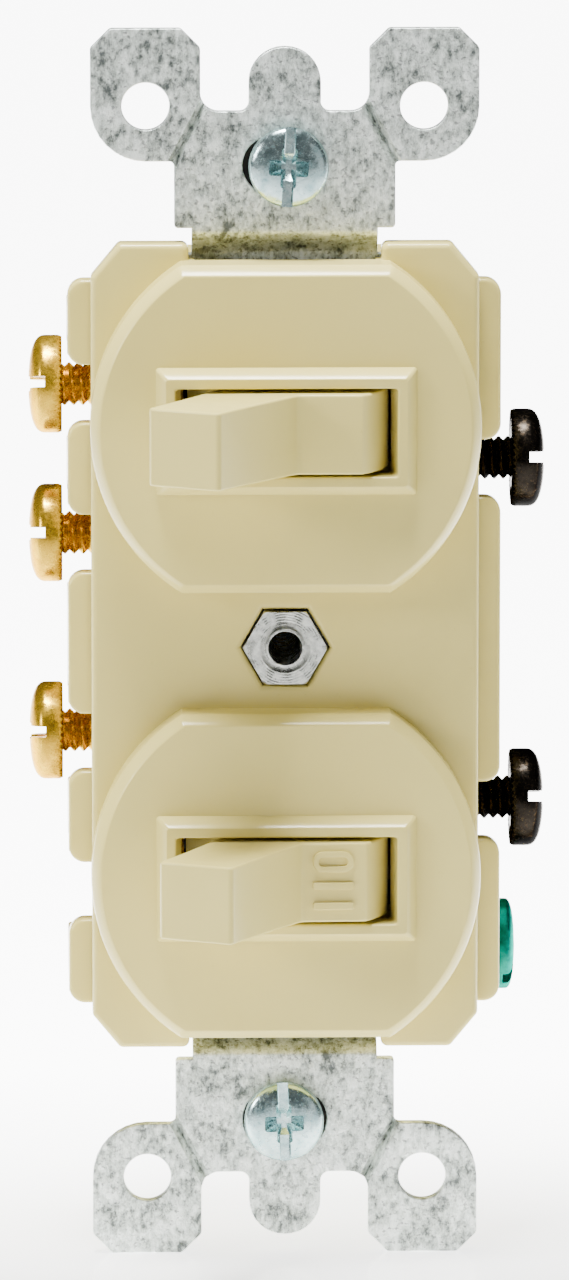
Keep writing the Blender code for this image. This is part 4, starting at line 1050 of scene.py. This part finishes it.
def make_post():
    """The hexagonal head with chamfered corners, its counterbore, and the tube, its inner thread
    left out.
    """
    low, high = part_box("center_post")
    front, back = low.y, high.y
    flange = 2.3 * MM
    hexagon = rounded([(x, z, 0.15 * MM) for x, z in arc((0, 0), POST_HEX_R, 0, 300, 5)])
    post = upright("post", hexagon, [], front, front + flange, (0.02 * MM, 0.1 * MM))
    outside = POST_HEX_R + 0.3 * MM
    cone = [(3.5 * MM, -front), (outside, -front - 0.45 * MM), (outside, -front - flange)]
    boolean(post, turned("cone", cone, ACROSS, steps=72), "INTERSECT")
    tube = [(1.7 * MM, -front - 1 * MM), (1.7 * MM, -back + 0.2 * MM), (1.5 * MM, -back)]
    boolean(post, turned("tube", tube, ACROSS, steps=56), "UNION")
    well = upright("well", circle((0, 0), 2.2 * MM, 56), [circle((0, 0), 1.66 * MM, 56)],
                   front - 0.4 * MM, front + 0.75 * MM, (0, 0))
    boolean(post, well)
    bore = [(1.48 * MM, -front + 0.3 * MM), (1.48 * MM, -front - 0.03 * MM),
            (1.38 * MM, -front - 0.2 * MM), (1.38 * MM, -back - 1 * MM)]
    boolean(post, turned("bore", bore, ACROSS, steps=56))
    piece(post, "housing", "zinc_steel", FACED, "center_post")


def make_rivets():
    """Tubular rivets, their heads rolled over in the counterbores of the back."""
    for word, sz in (("upper", 1), ("lower", -1)):
        for hand, sx in (("left", -1), ("right", 1)):
            name = f"{word}_{hand}_rivet"
            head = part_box(name)[1].y
            profile = [(0.02 * MM, head - 3 * MM), (0.7 * MM, head - 3 * MM),
                       (0.7 * MM, head - 0.35 * MM), (0.85 * MM, head - 0.12 * MM)]
            for t in (0.5, 1.0, 1.57):
                rise = 0.25 * MM * math.sin(t)
                profile.append((1.4 * MM - 0.55 * MM * math.cos(t), head - 0.25 * MM + rise))
            profile += [(1.6 * MM, head), (1.85 * MM, head - 0.12 * MM),
                        (RIVET_HEAD_R, head - 0.4 * MM), (RIVET_HEAD_R, head - 0.85 * MM),
                        (1.2 * MM, head - 0.88 * MM), (1.2 * MM, -1.1 * MM), (1.1 * MM, -1.2 * MM)]
            made = turned(name + "_rolled", profile, rivet_axis(sx, sz, BACKWARDS), steps=48)
            piece(made, "housing", "zinc_steel", ZINC, name)


def make_washers():
    """The fibre washers behind the strap that hold the mounting screws captive."""
    for word, sz in (("upper", 1), ("lower", -1)):
        name = f"{word}_retaining_washer"
        low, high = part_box(name)
        at = (0, sz * MOUNT_Z)
        made = upright(name + "_fibre", circle(at, 4.2 * MM, 64), [circle(at, 2.0 * MM, 48)],
                       low.y, high.y, (0.12 * MM, 0.12 * MM))
        piece(made, "housing", "black_fibre", FIBRE, name)


def paint_nodes():
    """Finishes for the CAD nodes that stay as they are."""
    finishes = {"brass": BRASS, "silver_contact": SILVER, "spring_steel": SPRING,
                "phenolic": PHENOLIC}
    for part in frame["record"]["subparts"]:
        finish = finishes.get(part["material_slot"])
        node = frame["nodes"][part["node"]]
        if finish and not node.hide_render:
            for holder in node.material_slots:
                holder.material = finish


# Stage

def make_stage():
    """The table under the lower ears, the world's light and three lamps, aimed at the middle."""
    reach = 6
    thick = 0.02
    floor = skin("floor", [[(x, y, z) for x, y in rectangle(-reach, -reach, reach, reach)]
                           for z in (-thick + YOKE_LOW.z, YOKE_LOW.z)])
    floor.data.materials.append(floor_finish())
    world = bpy.data.worlds.new("studio")
    bpy.context.scene.world = world
    world.use_nodes = True
    shade = world.node_tree.nodes["Background"]
    shade.inputs["Color"].default_value = (1.0, 1.0, 1.0, 1)
    shade.inputs["Strength"].default_value = 0.13
    for name, spot, size, power in (
            ("top", (-0.04, -0.045, 0.5), (0.14, 0.17), 9.3),
            ("key", (-0.85, -0.45, 0.35), (0.22, 0.22), 5.4),
            ("fill", (0.85, -0.85, 0.25), (0.6, 0.6), 0.6)):
        lamp = bpy.data.lights.new(name, "AREA")
        lamp.energy = power
        lamp.shape = "RECTANGLE"
        lamp.size, lamp.size_y = size
        made = bpy.data.objects.new(name, lamp)
        made.location = spot
        made.rotation_euler = (-made.location).to_track_quat("-Z", "Y").to_euler()
        bpy.context.scene.collection.objects.link(made)


def make_camera():
    """The photograph's camera: a long lens, a little above the object and to its left."""
    elevation, azimuth = math.radians(9.0), math.radians(-1.5)
    distance = 0.95
    target = Vector((0, 0, 0.3 * MM))
    direction = Vector((math.sin(azimuth) * math.cos(elevation),
                        -math.cos(azimuth) * math.cos(elevation), math.sin(elevation)))
    lens = bpy.data.cameras.new("camera")
    lens.sensor_width = 36
    lens.lens = 309
    lens.clip_start = 0.01
    made = bpy.data.objects.new("camera", lens)
    made.location = target + distance * direction
    made.rotation_euler = (target - made.location).to_track_quat("-Z", "Y").to_euler()
    bpy.context.scene.collection.objects.link(made)
    bpy.context.scene.camera = made


make_camera()
make_stage()
make_yoke()
make_cover()
make_base()
for word, centre_z in (("upper", TOGGLE_Z), ("lower", -TOGGLE_Z)):
    make_toggle(word, centre_z)
make_screws()
make_post()
make_rivets()
make_washers()
paint_nodes()
